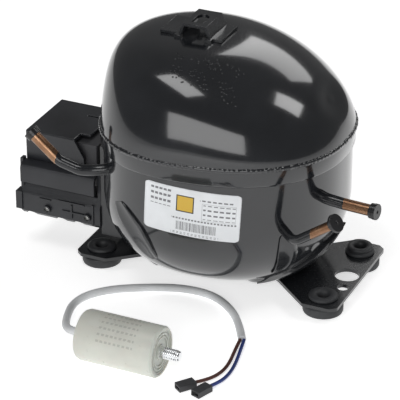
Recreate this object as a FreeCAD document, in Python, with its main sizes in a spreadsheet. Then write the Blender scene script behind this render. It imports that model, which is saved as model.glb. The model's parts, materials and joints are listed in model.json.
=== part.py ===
"""Hermetic reciprocating compressor with its run capacitor, as a FreeCAD document.

Frame: +Z up, z = 0 at the bottom of the rubber feet, origin at the middle of the
four foot bolts, +X towards the suction tube, -Y towards the rating label.
"""
import FreeCAD, Part
import math
import operator
import os

import Sketcher
from FreeCAD import Placement, Rotation, Vector

# Driving dimensions in millimetres: (alias, value).
DRIVING_SIZES = [
    ("foot_span_x", 170), ("foot_span_y", 70), ("foot_plate", 2.5), ("foot_top", 10.5),
    ("foot_hole", 8.5), ("grommet_base", 14.2), ("grommet_lip", 10), ("bolt_hole", 4),
    ("seam_level", 115), ("dome_rise", 60), ("dome_half_x", 86.6), ("dome_half_y", 82.6),
    ("shell_shift", -0.8), ("shell_egg", 0.1), ("shell_wall", 3), ("band_height", 12),
    ("band_step", 1.8), ("belly_level", 6), ("belly_round", 60),
    ("crank_x", -6), ("crank_throw", 8), ("cylinder_level", 109.5), ("bore_radius", 11),
    ("running_gap", 0.04), ("shaft_radius", 8), ("pin_radius", 7), ("post_x", 40), ("post_y", 32),
    ("stator_side", 96), ("stator_low", 40), ("stator_stack", 38), ("stator_bore", 28),
    ("rotor_gap", 0.5), ("winding_rise", 12), ("flange_low", 91.5), ("flange_top", 97),
    ("block_start", 25), ("block_end", 65), ("block_half", 20), ("block_top", 127),
    ("plate_thick", 3), ("gasket", 0.4), ("head_depth", 11), ("head_bolt_y", 15),
    ("head_bolt_z", 12.5), ("yoke_rise", 14), ("slider_side", 20),
    ("suction_radius", 4), ("discharge_radius", 3.3), ("tube_bore_wall", 0.8),
    ("seat_level", 23), ("lobe_radius", 15), ("lobe_level", 10),
    ("cap_flange", 1.6), ("cap_grip", 3.2), ("terminal_level", 70), ("terminal_radius", 14),
    ("cover_left", -148), ("cover_right", -101.5), ("cover_half", 28), ("cover_low", 48),
    ("cover_top", 88), ("moulding_wall", 2), ("board_low", 24), ("board_top", 44),
    ("can_radius", 17.5), ("can_length", 58), ("can_x", -38), ("can_y", -157),
    ("stud_radius", 4), ("stud_length", 12), ("sheath_radius", 2.8), ("wire_radius", 1.2),
]
PLAN_POWER = 2.3        # squareness of the shell in plan: 2 would be an ellipse
DOME_FALL = 1.6         # how early the dome turns inwards
DOME_SHOULDER = 3.8     # how full the dome's shoulder is
DOME_LEAN = (-0.095, -20.0)  # leftward lean of the dome: per mm of rise, and at its top
DOME_FLAT = 0.999       # share of the rise at which the dome is cut flat
SECTION_POINTS = 32

OPERATIONS = {"+": operator.add, "-": operator.sub, "*": operator.mul, "/": operator.truediv}
UP = Vector(0, 0, 1)
ALONG_X = Rotation(Vector(0, 1, 0), 90)
ALONG_Y = Rotation(Vector(1, 0, 0), -90)
NO_TURN = Rotation()

doc = FreeCAD.newDocument("hermetic_compressor")
sheet = doc.addObject("Spreadsheet::Sheet", "Sizes")
kept = {}


class Size:
    """A number together with the sheet expression that gives it."""

    def __init__(self, number, text):
        self.number = float(number)
        self.text = text

    def combine(self, sign, other, reflected=False):
        other = as_size(other)
        left, right = (other, self) if reflected else (self, other)
        number = OPERATIONS[sign](left.number, right.number)
        return Size(number, "(%s %s %s)" % (left.text, sign, right.text))

    def __add__(self, other):
        return self.combine("+", other)

    def __radd__(self, other):
        return self.combine("+", other, reflected=True)

    def __sub__(self, other):
        return self.combine("-", other)

    def __rsub__(self, other):
        return self.combine("-", other, reflected=True)

    def __mul__(self, other):
        return self.combine("*", other)

    def __rmul__(self, other):
        return self.combine("*", other, reflected=True)

    def __truediv__(self, other):
        return self.combine("/", other)

    def __neg__(self):
        return self.combine("*", -1)

    def __float__(self):
        return self.number


class Sizes:
    """The sheet's cells by name."""


def as_size(value):
    return value if isinstance(value, Size) else Size(value, repr(float(value)))


def write_sheet():
    """Put every driving dimension in the sheet and return them by name."""
    sizes = Sizes()
    for row, (alias, value) in enumerate(DRIVING_SIZES, 1):
        sheet.set("A%d" % row, alias.replace("_", " "))
        sheet.set("B%d" % row, str(value))
        sheet.setAlias("B%d" % row, alias)
        setattr(sizes, alias, Size(value, "Sizes." + alias))
    doc.recompute()
    return sizes


# ---------------------------------------------------------------- document helpers
def bind(piece, path, value):
    """Set a property to a size: bound to the sheet, or plain if it is a number."""
    if isinstance(value, Size):
        piece.setExpression(path, value.text)


def place(piece, at=(0, 0, 0), turn=NO_TURN):
    piece.Placement = Placement(Vector(*[float(value) for value in at]), turn)
    for axis, value in zip("xyz", at):
        bind(piece, ".Placement.Base." + axis, value)
    return piece


def solid(kind, name, at=(0, 0, 0), turn=NO_TURN, **sizes):
    """A Part primitive with its sizes bound to the sheet."""
    piece = doc.addObject("Part::" + kind, name)
    for key, value in sizes.items():
        setattr(piece, key, float(value))
        bind(piece, key, value)
    return place(piece, at, turn)


def box(name, low, high):
    """A box from its lowest to its highest corner."""
    spans = [as_size(top) - bottom for bottom, top in zip(low, high)]
    return solid("Box", name, low, Length=spans[0], Width=spans[1], Height=spans[2])


def rod(name, at, radius, length, turn=NO_TURN):
    return solid("Cylinder", name, at, turn, Radius=radius, Height=length)


def join(name, pieces):
    fuse = doc.addObject("Part::MultiFuse", name)
    fuse.Shapes = pieces
    fuse.Refine = True
    return fuse


def cut(name, base, tools):
    """The base without the tools."""
    piece = doc.addObject("Part::Cut", name)
    piece.Base = base
    piece.Tool = tools[0] if len(tools) == 1 else join(name + "_tools", tools)
    piece.Refine = True
    return piece


def common(name, first, second):
    piece = doc.addObject("Part::Common", name)
    piece.Base = first
    piece.Tool = second
    return piece


def feature(name, shape):
    """A piece whose surface follows a formula or a route."""
    piece = doc.addObject("Part::Feature", name)
    piece.Shape = shape
    return piece


def keep(node, piece):
    """Name a finished sub-part: its label names its file."""
    piece.Label = node
    kept[node] = piece
    return piece


class Profile:
    """A sketch on one of a body's own origin planes, with its points bound to the sheet."""

    def __init__(self, body, plane="XY_Plane", lift=0):
        face = next(item for item in body.Origin.OriginFeatures if item.Role == plane)
        self.body = body
        self.sketch = body.newObject("Sketcher::SketchObject", body.Name + "_sketch")
        self.sketch.AttachmentSupport = [(face, "")]
        self.sketch.MapMode = "FlatFace"
        self.sketch.AttachmentOffset = Placement(Vector(0, 0, float(lift)), NO_TURN)
        bind(self.sketch, ".AttachmentOffset.Base.z", lift)

    def hold(self, kind, geometry, point, value):
        """Fix one coordinate of a point, on the axis where it is zero."""
        if abs(float(value)) < 1e-9:
            axis = -2 if kind == "DistanceX" else -1
            self.sketch.addConstraint(Sketcher.Constraint("PointOnObject", geometry, point, axis))
            return
        rule = Sketcher.Constraint(kind, -1, 1, geometry, point, float(value))
        index = self.sketch.addConstraint(rule)
        bind(self.sketch, "Constraints[%d]" % index, value)

    def outline(self, corners):
        """A closed outline of straight lines."""
        spots = [Vector(float(x), float(y), 0) for x, y in corners]
        first = self.sketch.GeometryCount
        count = len(spots)
        for index in range(count):
            line = Part.LineSegment(spots[index], spots[(index + 1) % count])
            self.sketch.addGeometry(line, False)
        for index in range(count):
            following = first + (index + 1) % count
            self.sketch.addConstraint(
                Sketcher.Constraint("Coincident", first + index, 2, following, 1))
        for index, (x, y) in enumerate(corners):
            self.hold("DistanceX", first + index, 1, x)
            self.hold("DistanceY", first + index, 1, y)
        return self

    def circle(self, x, y, radius):
        disc = Part.Circle(Vector(float(x), float(y), 0), UP, float(radius))
        geometry = self.sketch.addGeometry(disc, False)
        index = self.sketch.addConstraint(Sketcher.Constraint("Radius", geometry, float(radius)))
        bind(self.sketch, "Constraints[%d]" % index, radius)
        self.hold("DistanceX", geometry, 3, x)
        self.hold("DistanceY", geometry, 3, y)
        return self


def new_body(name, at=(0, 0, 0), turn=NO_TURN):
    return place(doc.addObject("PartDesign::Body", name), at, turn)


def pad(profile, length):
    feature_pad = profile.body.newObject("PartDesign::Pad", profile.body.Name + "_pad")
    feature_pad.Profile = profile.sketch
    feature_pad.Length = float(length)
    bind(feature_pad, "Length", length)
    profile.sketch.Visibility = False
    return feature_pad


def turned(name, outline, at=(0, 0, 0), turn=NO_TURN):
    """A round body: an outline of (radius, height) pairs turned about its own Z."""
    body = new_body(name, at, turn)
    profile = Profile(body, "XZ_Plane").outline(outline)
    revolution = body.newObject("PartDesign::Revolution", name + "_turned")
    revolution.Profile = profile.sketch
    revolution.ReferenceAxis = (profile.sketch, ["V_Axis"])
    revolution.Angle = 360
    return body


def round_edges(body, radius, wanted, kind="Fillet"):
    """Fillet or chamfer the edges of a body's tip that the test picks."""
    doc.recompute()
    base = body.Tip
    names = ["Edge%d" % number for number, edge in enumerate(base.Shape.Edges, 1) if wanted(edge)]
    dressing = body.newObject("PartDesign::" + kind, body.Name + "_" + kind.lower())
    dressing.Base = (base, names)
    key = "Radius" if kind == "Fillet" else "Size"
    setattr(dressing, key, float(radius))
    bind(dressing, key, radius)
    return dressing


def is_upright(edge):
    return abs(edge.tangentAt(edge.FirstParameter).z) > 0.99 and edge.Length > 1.5


# ---------------------------------------------------------------- routes of tubes and cords
def route_wire(points, largest_radius=None):
    """Straight runs joined by tangent arcs, and the arcs' radii.

    An arc takes 0.45 of its shorter run on each side of its corner, or less where a
    largest radius is given.
    """
    spots = [Vector(*[float(value) for value in point]) for point in points]
    start = spots[0]
    edges = []
    radii = []
    for before, corner, after in zip(spots, spots[1:], spots[2:]):
        back = before - corner
        ahead = after - corner
        shorter = min(back.Length, ahead.Length)
        half_turn = (math.pi - back.getAngle(ahead)) / 2
        back.normalize()
        ahead.normalize()
        reach = 0.45 * shorter
        if largest_radius:
            reach = min(reach, largest_radius * math.tan(half_turn))
        radius = reach / math.tan(half_turn)
        inward = (back + ahead).normalize()
        middle = corner + inward * (radius / math.cos(half_turn) - radius)
        arc_start = corner + back * reach
        arc_end = corner + ahead * reach
        edges.append(Part.LineSegment(start, arc_start).toShape())
        edges.append(Part.Arc(arc_start, middle, arc_end).toShape())
        radii.append(radius)
        start = arc_end
    edges.append(Part.LineSegment(start, spots[-1]).toShape())
    return Part.Wire(edges), radii


def pipe_along(wire, radius):
    """A solid round bar along a wire."""
    first = wire.Edges[0]
    heading = first.tangentAt(first.FirstParameter)
    ring = Part.Wire([Part.Circle(wire.Edges[0].Vertexes[0].Point, heading, radius).toShape()])
    return wire.makePipeShell([ring], True, False)


def hollow_tube(name, points, radius, wall, bend):
    """A bent metal tube with open ends."""
    wire = route_wire(points, bend)[0]
    outer = pipe_along(wire, float(radius))
    return feature(name, outer.cut(pipe_along(wire, float(radius) - float(wall))))


def cord_tube(name, points, radius):
    """A flexible cord's solid: its radii and its volume are printed for comparison."""
    wire, radii = route_wire(points)
    shape = pipe_along(wire, float(radius))
    share = shape.Volume / (math.pi * float(radius) ** 2 * wire.Length)
    print("%s length %.1f radii %s volume share %.4f" % (
        name, wire.Length, " ".join("%.1f" % value for value in radii), share))
    return feature(name, shape)


def spun(shape, angle, centre):
    copy = shape.copy()
    copy.rotate(centre, UP, angle)
    return copy


# ---------------------------------------------------------------- the shell's own formula
class Shell:
    """Outer surface of the pressed shell, offset outwards by a margin."""

    def __init__(self, sizes, margin=0.0):
        self.margin = margin
        self.centre_x = float(sizes.shell_shift)
        self.egg = float(sizes.shell_egg)
        self.half_x = float(sizes.dome_half_x) + margin
        self.half_y = float(sizes.dome_half_y) + margin
        self.rise = float(sizes.dome_rise) + margin
        self.seam = float(sizes.seam_level)
        self.band_foot = self.seam - float(sizes.band_height)
        self.step = float(sizes.band_step)
        self.bottom = float(sizes.belly_level) - margin
        self.bend = float(sizes.belly_round)

    def section(self, level, half_x, half_y, shift, power, egg):
        """A closed smooth curve round the shell at one level, its seam on +Y clear of the feet."""
        spots = []
        for index in range(SECTION_POINTS):
            angle = math.pi / 2 + 2 * math.pi * index / SECTION_POINTS
            cosine = math.cos(angle)
            sine = math.sin(angle)
            reach = ((abs(cosine) / half_x) ** power + (abs(sine) / half_y) ** power) ** (-1 / power)
            x = reach * cosine
            y = reach * sine * (1 - egg * x / half_x)
            spots.append(Vector(self.centre_x + shift + x, y, level))
        curve = Part.BSplineCurve()
        curve.interpolate(spots, PeriodicFlag=True)
        return Part.Wire([curve.toShape()])

    def dome_section(self, share):
        """Section of the dome at a share of its rise."""
        height = share * self.rise
        width = (1 - share ** DOME_FALL) ** (1 / DOME_SHOULDER)
        lean = DOME_LEAN[0] * height + DOME_LEAN[1] * share ** 2
        power = PLAN_POWER - (PLAN_POWER - 2) * share
        egg = self.egg * (1 - share)
        return self.section(
            self.seam + height, self.half_x * width, self.half_y * width, lean, power, egg)

    def dome(self):
        shares = (0, 0.15, 0.3, 0.45, 0.6, 0.72, 0.82, 0.9, 0.96, DOME_FLAT)
        return Part.makeLoft([self.dome_section(share) for share in shares], True, False)

    def band(self, low, high):
        """Straight band between two levels, as wide as the dome's rim."""
        wire = self.section(low, self.half_x, self.half_y, 0, PLAN_POWER, self.egg)
        return Part.Face(wire).extrude(Vector(0, 0, high - low))

    def belly_section(self, share):
        """Section of the rounded bottom at a share of its height."""
        inset = self.bend * (1 - math.sqrt(1 - (1 - share) ** 2)) + self.step
        level = self.bottom + share * (self.bend + self.margin)
        return self.section(
            level, self.half_x - inset, self.half_y - inset, 0, PLAN_POWER, self.egg)

    def belly(self):
        """Rounded bottom, with straight walls from its shoulder up to the band."""
        shares = (0, 0.03, 0.1, 0.2, 0.35, 0.55, 0.8, 1)
        bottom = Part.makeLoft([self.belly_section(share) for share in shares], True, False)
        shoulder = bottom.BoundBox.ZMax
        wire = self.section(
            shoulder, self.half_x - self.step, self.half_y - self.step, 0, PLAN_POWER, self.egg)
        walls = Part.Face(wire).extrude(Vector(0, 0, self.band_foot + 1 - shoulder))
        return bottom.fuse(walls)

    def lower(self):
        return self.belly().fuse(self.band(self.band_foot, self.seam)).removeSplitter()


def post_spots(s):
    """The four corner posts that carry the pump inside the shell."""
    return [(s.crank_x + side_x * s.post_x, side_y * s.post_y)
            for side_x in (-1, 1) for side_y in (-1, 1)]


# ---------------------------------------------------------------- shell, feet and fittings
def make_shell(s, tubes):
    outer = Shell(s)
    inner = Shell(s, -float(s.shell_wall))
    dome = outer.dome()
    keep("upper_shell", feature("upper_shell", dome.cut(inner.dome())))

    lobe_centre = float(s.lobe_level + s.lobe_radius)
    lobes = [Part.makeSphere(float(s.lobe_radius), Vector(float(x), float(y), lobe_centre))
             for x, y in post_spots(s)]
    inside = inner.lower()
    hull = outer.lower()
    for lobe in lobes:
        hull = hull.fuse(lobe)
    hull = hull.cut(inside)
    port = Part.makeCylinder(
        float(s.terminal_radius), 20, Vector(-95, 0, float(s.terminal_level)), Vector(1, 0, 0))
    hull = hull.cut(port)
    for tube in tubes:
        hull = hull.cut(tube)
    keep("lower_shell", feature("lower_shell", hull))

    bead = Shell(s, 1.5)
    seam = float(s.seam_level)
    ring = bead.band(seam - 2.4, seam + 2.4)
    ring = ring.cut(outer.band(seam - 3, seam)).cut(dome)
    keep("seam_weld", feature("seam_weld", ring))

    sticker = Shell(s, 0.25).belly().cut(outer.belly())
    window = Part.makeBox(67.5, 30, 36.5, Vector(-29, -92, 61.6))
    window.rotate(Vector(5, -80, 80), Vector(0, 1, 0), 3)
    keep("rating_label", feature("rating_label", sticker.common(window)))
    fills = [feature("belly_fill", outer.belly())]
    fills += [feature("lobe_fill_%d" % number, lobe) for number, lobe in enumerate(lobes)]
    return fills, inside, dome


def make_foot(s, node, side, fills):
    """One pressed foot: a plate with two grommet holes and a saddle that hugs the shell."""
    edge = side * (s.foot_span_x / 2 + 14.5)
    bolt_x = side * (s.foot_span_x / 2)
    half_y = s.foot_span_y / 2
    neck_x = side * (s.foot_span_x / 2 - 38)
    body = new_body(node + "_plate", (0, 0, s.foot_top - s.foot_plate))
    corner_y = half_y + 10.5
    shoulder_x = side * (s.foot_span_x / 2 - 10)
    corners = [
        (edge, -corner_y), (edge, corner_y), (edge - side * 5, half_y + 14.5),
        (shoulder_x, half_y + 14.5), (neck_x, half_y - 10), (neck_x - side * 10, half_y - 16),
        (neck_x - side * 10, 16 - half_y), (neck_x, 10 - half_y),
        (shoulder_x, -14.5 - half_y), (edge - side * 5, -14.5 - half_y)]
    if side < 0:
        corners.reverse()
    profile = Profile(body).outline(corners)
    for sign in (-1, 1):
        profile.circle(bolt_x, sign * half_y, s.foot_hole)
    profile.circle(bolt_x + side * 4, 0, 8.7)
    if side > 0:
        profile.circle(bolt_x + 7.6, -17.4, 4.1)
    pad(profile, s.foot_plate)
    round_edges(body, 3, lambda edge_item: is_upright(edge_item))

    skin = Shell(s, float(s.foot_plate))
    low = float(s.foot_top - s.foot_plate)
    outline = [Vector(0, -44, low), Vector(0, 44, low), Vector(0, 34, 26), Vector(0, 17, 42),
               Vector(0, -17, 42), Vector(0, -34, 26), Vector(0, -44, low)]
    window = Part.Face(Part.makePolygon(outline)).extrude(Vector(side * 100, 0, 0))
    window = window.cut(Part.makeBox(76, 120, 60, Vector(-38, -60, 0)))
    saddle = feature(node + "_saddle", skin.belly().common(window))
    whole = join(node + "_whole", [body, saddle])
    clear = cut(node + "_off_belly", whole, fills[:1])
    piece = cut(node + "_off_lobes", clear, fills[1:])
    ear_hole = rod(node + "_ear_hole", (side * 60, -9, 35), 2.6, side * 40 if side > 0 else 40,
                   Rotation(Vector(0, 1, 0), 90 * side))
    keep(node, cut(node, piece, [ear_hole]))


def make_grommets(s):
    """Rubber feet: a wide base, a waist in the plate's hole, a lip above the plate."""
    low = s.foot_top - s.foot_plate
    for node_x, side_x in (("left", -1), ("right", 1)):
        for node_y, side_y, rise in (("front", -1, 2.6), ("rear", 1, 5.6)):
            node = "grommet_%s_%s" % (node_x, node_y)
            top = s.foot_top + rise
            outline = [
                (s.bolt_hole, 0), (s.grommet_base - 1.2, 0), (s.grommet_base, 1.4),
                (s.grommet_base, low - 1.6), (s.grommet_base - 2.2, low),
                (s.foot_hole - 0.1, low), (s.foot_hole - 0.1, s.foot_top),
                (s.grommet_lip + 0.4, s.foot_top), (s.grommet_lip + 0.4, top - 1.2),
                (s.grommet_lip - 1.2, top), (s.bolt_hole + 2, top), (s.bolt_hole, top - 1)]
            place_at = (side_x * (s.foot_span_x / 2), side_y * (s.foot_span_y / 2), 0)
            keep(node, turned(node, outline, place_at))


def make_top_bracket(dome):
    """Raised strap on the crown, with an oval eye in its bridge."""
    flat = dome.BoundBox.ZMax
    body = new_body("top_strap", (0, 16, flat))
    outline = [
        (-49, 0), (-33.5, 0), (-31, 7.6), (-16, 7.6), (-12.5, 0), (-3, 0), (-3, 2),
        (-11, 2), (-14.6, 9.8), (-32.2, 9.8), (-35, 2), (-49, 2)]
    pad(Profile(body, "XZ_Plane").outline(outline), 27)
    eye = join("strap_eye", [
        rod("strap_eye_round", (-23.6, 4, flat + 5), 4.4, 8),
        box("strap_eye_slot", (-28, -6, flat + 5), (-19.2, 4, flat + 13))])
    legs = [box("strap_leg_%d" % number, (x, -14.4, flat - 3), (x + 5, -11, flat + 2))
            for number, x in enumerate((-37, -14.5))]
    crown = feature("strap_crown", dome)
    keep("top_bracket", cut("top_bracket", join("strap_with_legs", [body] + legs), [eye, crown]))


def make_tubes(s, node, points, radius, bend):
    """One stub tube brazed into the shell."""
    return keep(node, hollow_tube(node, points, radius, s.tube_bore_wall, bend))


def make_cap(s, node, end, heading, radius, flange):
    """Rubber cap pushed over a tube's end."""
    turn = Rotation(UP, Vector(*heading))
    outline = [
        (radius + 0.05, -s.cap_grip), (radius + 1.3, -s.cap_grip), (radius + 1.3, -0.8),
        (flange, -0.8), (flange, s.cap_flange), (1.2, s.cap_flange), (1.2, 1.0),
        (0, 1.0), (0, 0.05), (radius + 0.05, 0.05)]
    keep(node, turned(node, outline, end, turn))


# ---------------------------------------------------------------- electrical gear
def pin_spots(s):
    level = s.terminal_level
    return [(-5.6, level + 3.25), (0, level - 6.5), (5.6, level + 3.25)]


def make_terminal(s):
    """Glass-sealed terminal in the shell wall: cup, three glass beads, three pins."""
    cup = turned("terminal_cup_blank", [
        (0, 0), (s.terminal_radius, 0), (s.terminal_radius, 7), (s.terminal_radius - 2, 7),
        (s.terminal_radius - 2, 3), (0, 3)], (-83, 0, s.terminal_level), Rotation(UP, Vector(-1, 0, 0)))
    holes = []
    beads = []
    pins = []
    for number, (y, z) in enumerate(pin_spots(s)):
        holes.append(rod("bead_seat_%d" % number, (-90, y, z), 3.2, 10, ALONG_X))
        glass = rod("bead_%d" % number, (-87.5, y, z), 3.2, 5.5, ALONG_X)
        way = rod("bead_way_%d" % number, (-90, y, z), 1.6, 10, ALONG_X)
        beads.append(cut("bead_ring_%d" % number, glass, [way]))
        pins.append(rod("pin_%d" % number, (-99, y, z), 1.6, 25, ALONG_X))
    keep("terminal_cup", cut("terminal_cup", cup, holes))
    keep("terminal_glass", join("terminal_glass", beads))
    keep("terminal_pins", join("terminal_pins", pins))


def socket_holes(s, name, spots, left):
    return [rod("%s_socket_%d" % (name, number), (left, y, z), 1.7, -80 - left, ALONG_X)
            for number, (y, z) in enumerate(spots)]


def make_starting_gear(s):
    """Start relay and overload protector, both plugged on the terminal's pins."""
    relay = new_body("relay_case", (-126, 0, 52))
    pad(Profile(relay).outline([(0, -24), (33, -24), (33, 2.6), (0, 2.6)]), 32)
    round_edges(relay, 1.5, is_upright)
    spots = pin_spots(s)
    tabs = [box("relay_tab_%d" % number, (-133, y, 60), (-126, y + 0.8, 66.3))
            for number, y in enumerate((-19, -5))]
    body = join("relay_with_tabs", [relay] + tabs)
    keep("start_relay", cut("start_relay", body, socket_holes(s, "relay", spots[:2], -100)))

    case = box("overload_case", (-118, 3, 58), (-93, 26, 82))
    can = rod("overload_can", (-125, 14.5, 70), 10.5, 7.5, ALONG_X)
    body = join("overload_whole", [case, can])
    keep("overload_protector",
         cut("overload_protector", body, socket_holes(s, "overload", spots[2:], -100)))


def make_cover(s):
    """Moulded cover over the starting gear: open towards the shell, one corner cut back."""
    top_edge = s.cover_half
    outer = new_body("cover_blank", (0, 0, s.cover_low))
    corners = [(s.cover_left, -top_edge), (s.cover_right, -top_edge),
               (s.cover_right, top_edge), (s.cover_left, top_edge)]
    pad(Profile(outer).outline(corners), s.cover_top - s.cover_low)
    round_edges(outer, 1.4, lambda edge: edge.BoundBox.XMax < float(s.cover_right) - 1
                or (abs(edge.BoundBox.ZMin - edge.BoundBox.ZMax) < 0.1 and edge.BoundBox.XLength > 5
                    and edge.BoundBox.ZMin > 10))
    wall = s.moulding_wall
    hollow = box("cover_hollow", (s.cover_left + wall, -top_edge + wall, s.cover_low - 1),
                 (s.cover_right + 1, top_edge - wall, s.cover_top - wall))
    wedge_outline = [
        Vector(-110, -29, 89), Vector(-98, -29, 89), Vector(-98, -29, 68), Vector(-110, -29, 89)]
    wedge = Part.Face(Part.makePolygon(wedge_outline)).extrude(Vector(0, 12, 0))
    notch = feature("cover_corner", wedge)
    slot = box("cover_slot", (s.cover_right - 16, 10, s.cover_top - 5),
               (s.cover_right + 1, 12, s.cover_top + 1))
    return keep("electrical_cover", cut("electrical_cover", outer, [hollow, notch, slot]))


def make_relay_base(s):
    """Lower moulding that carries the terminals below the cover."""
    body = new_body("base_blank", (0, 0, s.board_low + 2))
    corners = [(s.cover_left, -27.6), (s.cover_right + 3, -27.6),
               (s.cover_right + 3, 28), (s.cover_left, 28)]
    pad(Profile(body).outline(corners), s.cover_low - s.board_low - 2.2)
    round_edges(body, 1.5, is_upright)
    hollow = box("base_hollow", (s.cover_left + 2, -25.5, s.board_low + 4),
                 (s.cover_right + 1, 26, s.cover_low + 1))
    keep("terminal_base", cut("terminal_base", body, [hollow]))


LID_LEFT = -147.5
LID_LENGTH = 58.6
BOARD_LEFT = -149
BOARD_RIGHT = -86
LID_HINGE = (-30.4, 64.9)


def make_lid():
    """Hinged flap in front of the terminals, with a rolled upper edge."""
    front = -38.5
    outline = [(-29.2, 66), (-29.2, 63.8), (-34, 63.8), (-36.3, 62), (-36.3, 51.5),
               (front, 51.5), (front, 62.5), (-37.6, 65), (-35, 66)]
    body = new_body("lid_blank", (LID_LEFT, 0, 0))
    pad(Profile(body, "YZ_Plane").outline(outline), LID_LENGTH)
    stubs = rod("lid_stubs", (LID_LEFT - 2, *LID_HINGE), 1.15, LID_LENGTH + 4, ALONG_X)
    keep("terminal_lid", join("terminal_lid", [body, stubs]))


def make_board(s):
    """Connection block with ribs, two screw sockets and open wire ways along its foot."""
    body = new_body("board_blank", (BOARD_LEFT, 0, 0))
    face = -35.5
    outline = [(-27.7, s.board_low), (face + 3, s.board_low), (face, s.board_low + 3),
               (face, s.board_top - 3), (face + 4, s.board_top + 3.2), (-27.7, s.board_top + 3.2)]
    pad(Profile(body, "YZ_Plane").outline(outline), BOARD_RIGHT - BOARD_LEFT)
    ear = box("board_ear", (BOARD_LEFT - 4, face - 1, s.board_low + 4),
              (BOARD_LEFT + 1, -29, s.board_top - 2))
    front = face - 1
    ribs = [box("board_rib_%d" % number, (left, front, low), (right, face + 1, high))
            for number, (left, right, low, high) in enumerate([
                (-134, -125, 39, 40), (-119, -98, 40.5, 41.6), (-116, -95, 33, 34),
                (-109, -107.8, 29, 39.5), (-92, -90.8, 27, 43)])]
    screw_spots = (-128, -96)
    bosses = [rod("board_boss_%d" % number, (x, front - 1, 32), 3, 3, ALONG_Y)
              for number, x in enumerate(screw_spots)]
    bores = [rod("board_bore_%d" % number, (x, front - 2, 32), 1.9, 7, ALONG_Y)
             for number, x in enumerate(screw_spots)]
    ways = [rod("board_way_%d" % number, (x, face - 3, s.board_low - 1.2), 4.2, 12, ALONG_Y)
            for number, x in enumerate((-142, -118, -104))]
    posts = [box("hinge_post_%d" % number, (x, -33, s.board_top), (x + 2.3, -28.2, 67.4))
             for number, x in enumerate((LID_LEFT - 2.6, LID_LEFT + LID_LENGTH + 0.3))]
    hinge_bore = rod("hinge_bore", (LID_LEFT - 4, *LID_HINGE), 1.2, LID_LENGTH + 8, ALONG_X)
    whole = join("board_whole", [body, ear] + ribs + bosses + posts)
    keep("terminal_board", cut("terminal_board", whole, bores + ways + [hinge_bore]))
    screws = [rod("board_screw_%d" % number, (x, front + 0.5, 32), 1.8, 4.5, ALONG_Y)
              for number, x in enumerate(screw_spots)]
    slots = [box("board_screw_slot_%d" % number, (x - 1.8, front, 31.7), (x + 1.8, front + 1.2, 32.3))
             for number, x in enumerate(screw_spots)]
    keep("terminal_screws", cut("terminal_screws", join("board_screws", screws), slots))


def make_terminal_bracket(fills):
    """Bracket welded to the shell that carries the electrical mouldings."""
    left = BOARD_RIGHT + 0.2
    plates = [box("carrier_front", (left, -33.5, 22), (-70, -31, 90)),
              box("carrier_rear", (left, 31, 22), (-70, 33.5, 90)),
              box("carrier_foot", (left, -33.5, 20), (-70, 33.5, 22))]
    whole = join("carrier_whole", plates)
    tools = fills + [kept["left_foot"]]
    keep("terminal_bracket", cut("terminal_bracket", whole, tools))


# ---------------------------------------------------------------- pump inside the shell
def make_crankcase(s):
    """Cast block: flange on four legs, main bearing, cylinder block."""
    spots = post_spots(s)
    plate = box("crankcase_plate", (s.crank_x - s.post_x - 6, -s.post_y - 6, s.flange_low),
                (s.crank_x + s.post_x + 6, s.post_y + 6, s.flange_top))
    hub = rod("main_bearing", (s.crank_x, 0, 71), 13, s.flange_low - 70)
    legs = [rod("leg_%d" % number, (x, y, s.stator_low + s.stator_stack), 6,
                s.flange_low - s.stator_low - s.stator_stack + 1)
            for number, (x, y) in enumerate(spots)]
    block = box("cylinder_block", (s.crank_x + s.block_start, -s.block_half, s.flange_low),
                (s.crank_x + s.block_end, s.block_half, s.block_top))
    whole = join("crankcase_whole", [plate, hub, block] + legs)
    tools = [rod("main_bore", (s.crank_x, 0, 60), s.shaft_radius + s.running_gap, 60),
             rod("cylinder_bore", (s.crank_x + s.block_start - 1, 0, s.cylinder_level),
                 s.bore_radius + s.running_gap / 2, 50, ALONG_X)]
    tools += [rod("leg_bore_%d" % number, (x, y, 60), 2.6, 60)
              for number, (x, y) in enumerate(spots)]
    tools += head_bolt_ways(s, "block_thread", s.crank_x + s.block_end - 16, 20, 2.2)
    keep("crankcase", cut("crankcase", whole, tools))


def head_bolt_ways(s, name, left, length, radius):
    """Four rods on the cylinder head's bolt pattern."""
    return [rod("%s_%d" % (name, number),
                (left, side_y * s.head_bolt_y, s.cylinder_level + side_z * s.head_bolt_z),
                radius, length, ALONG_X)
            for number, (side_y, side_z) in enumerate(((-1, -1), (-1, 1), (1, -1), (1, 1)))]


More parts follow.
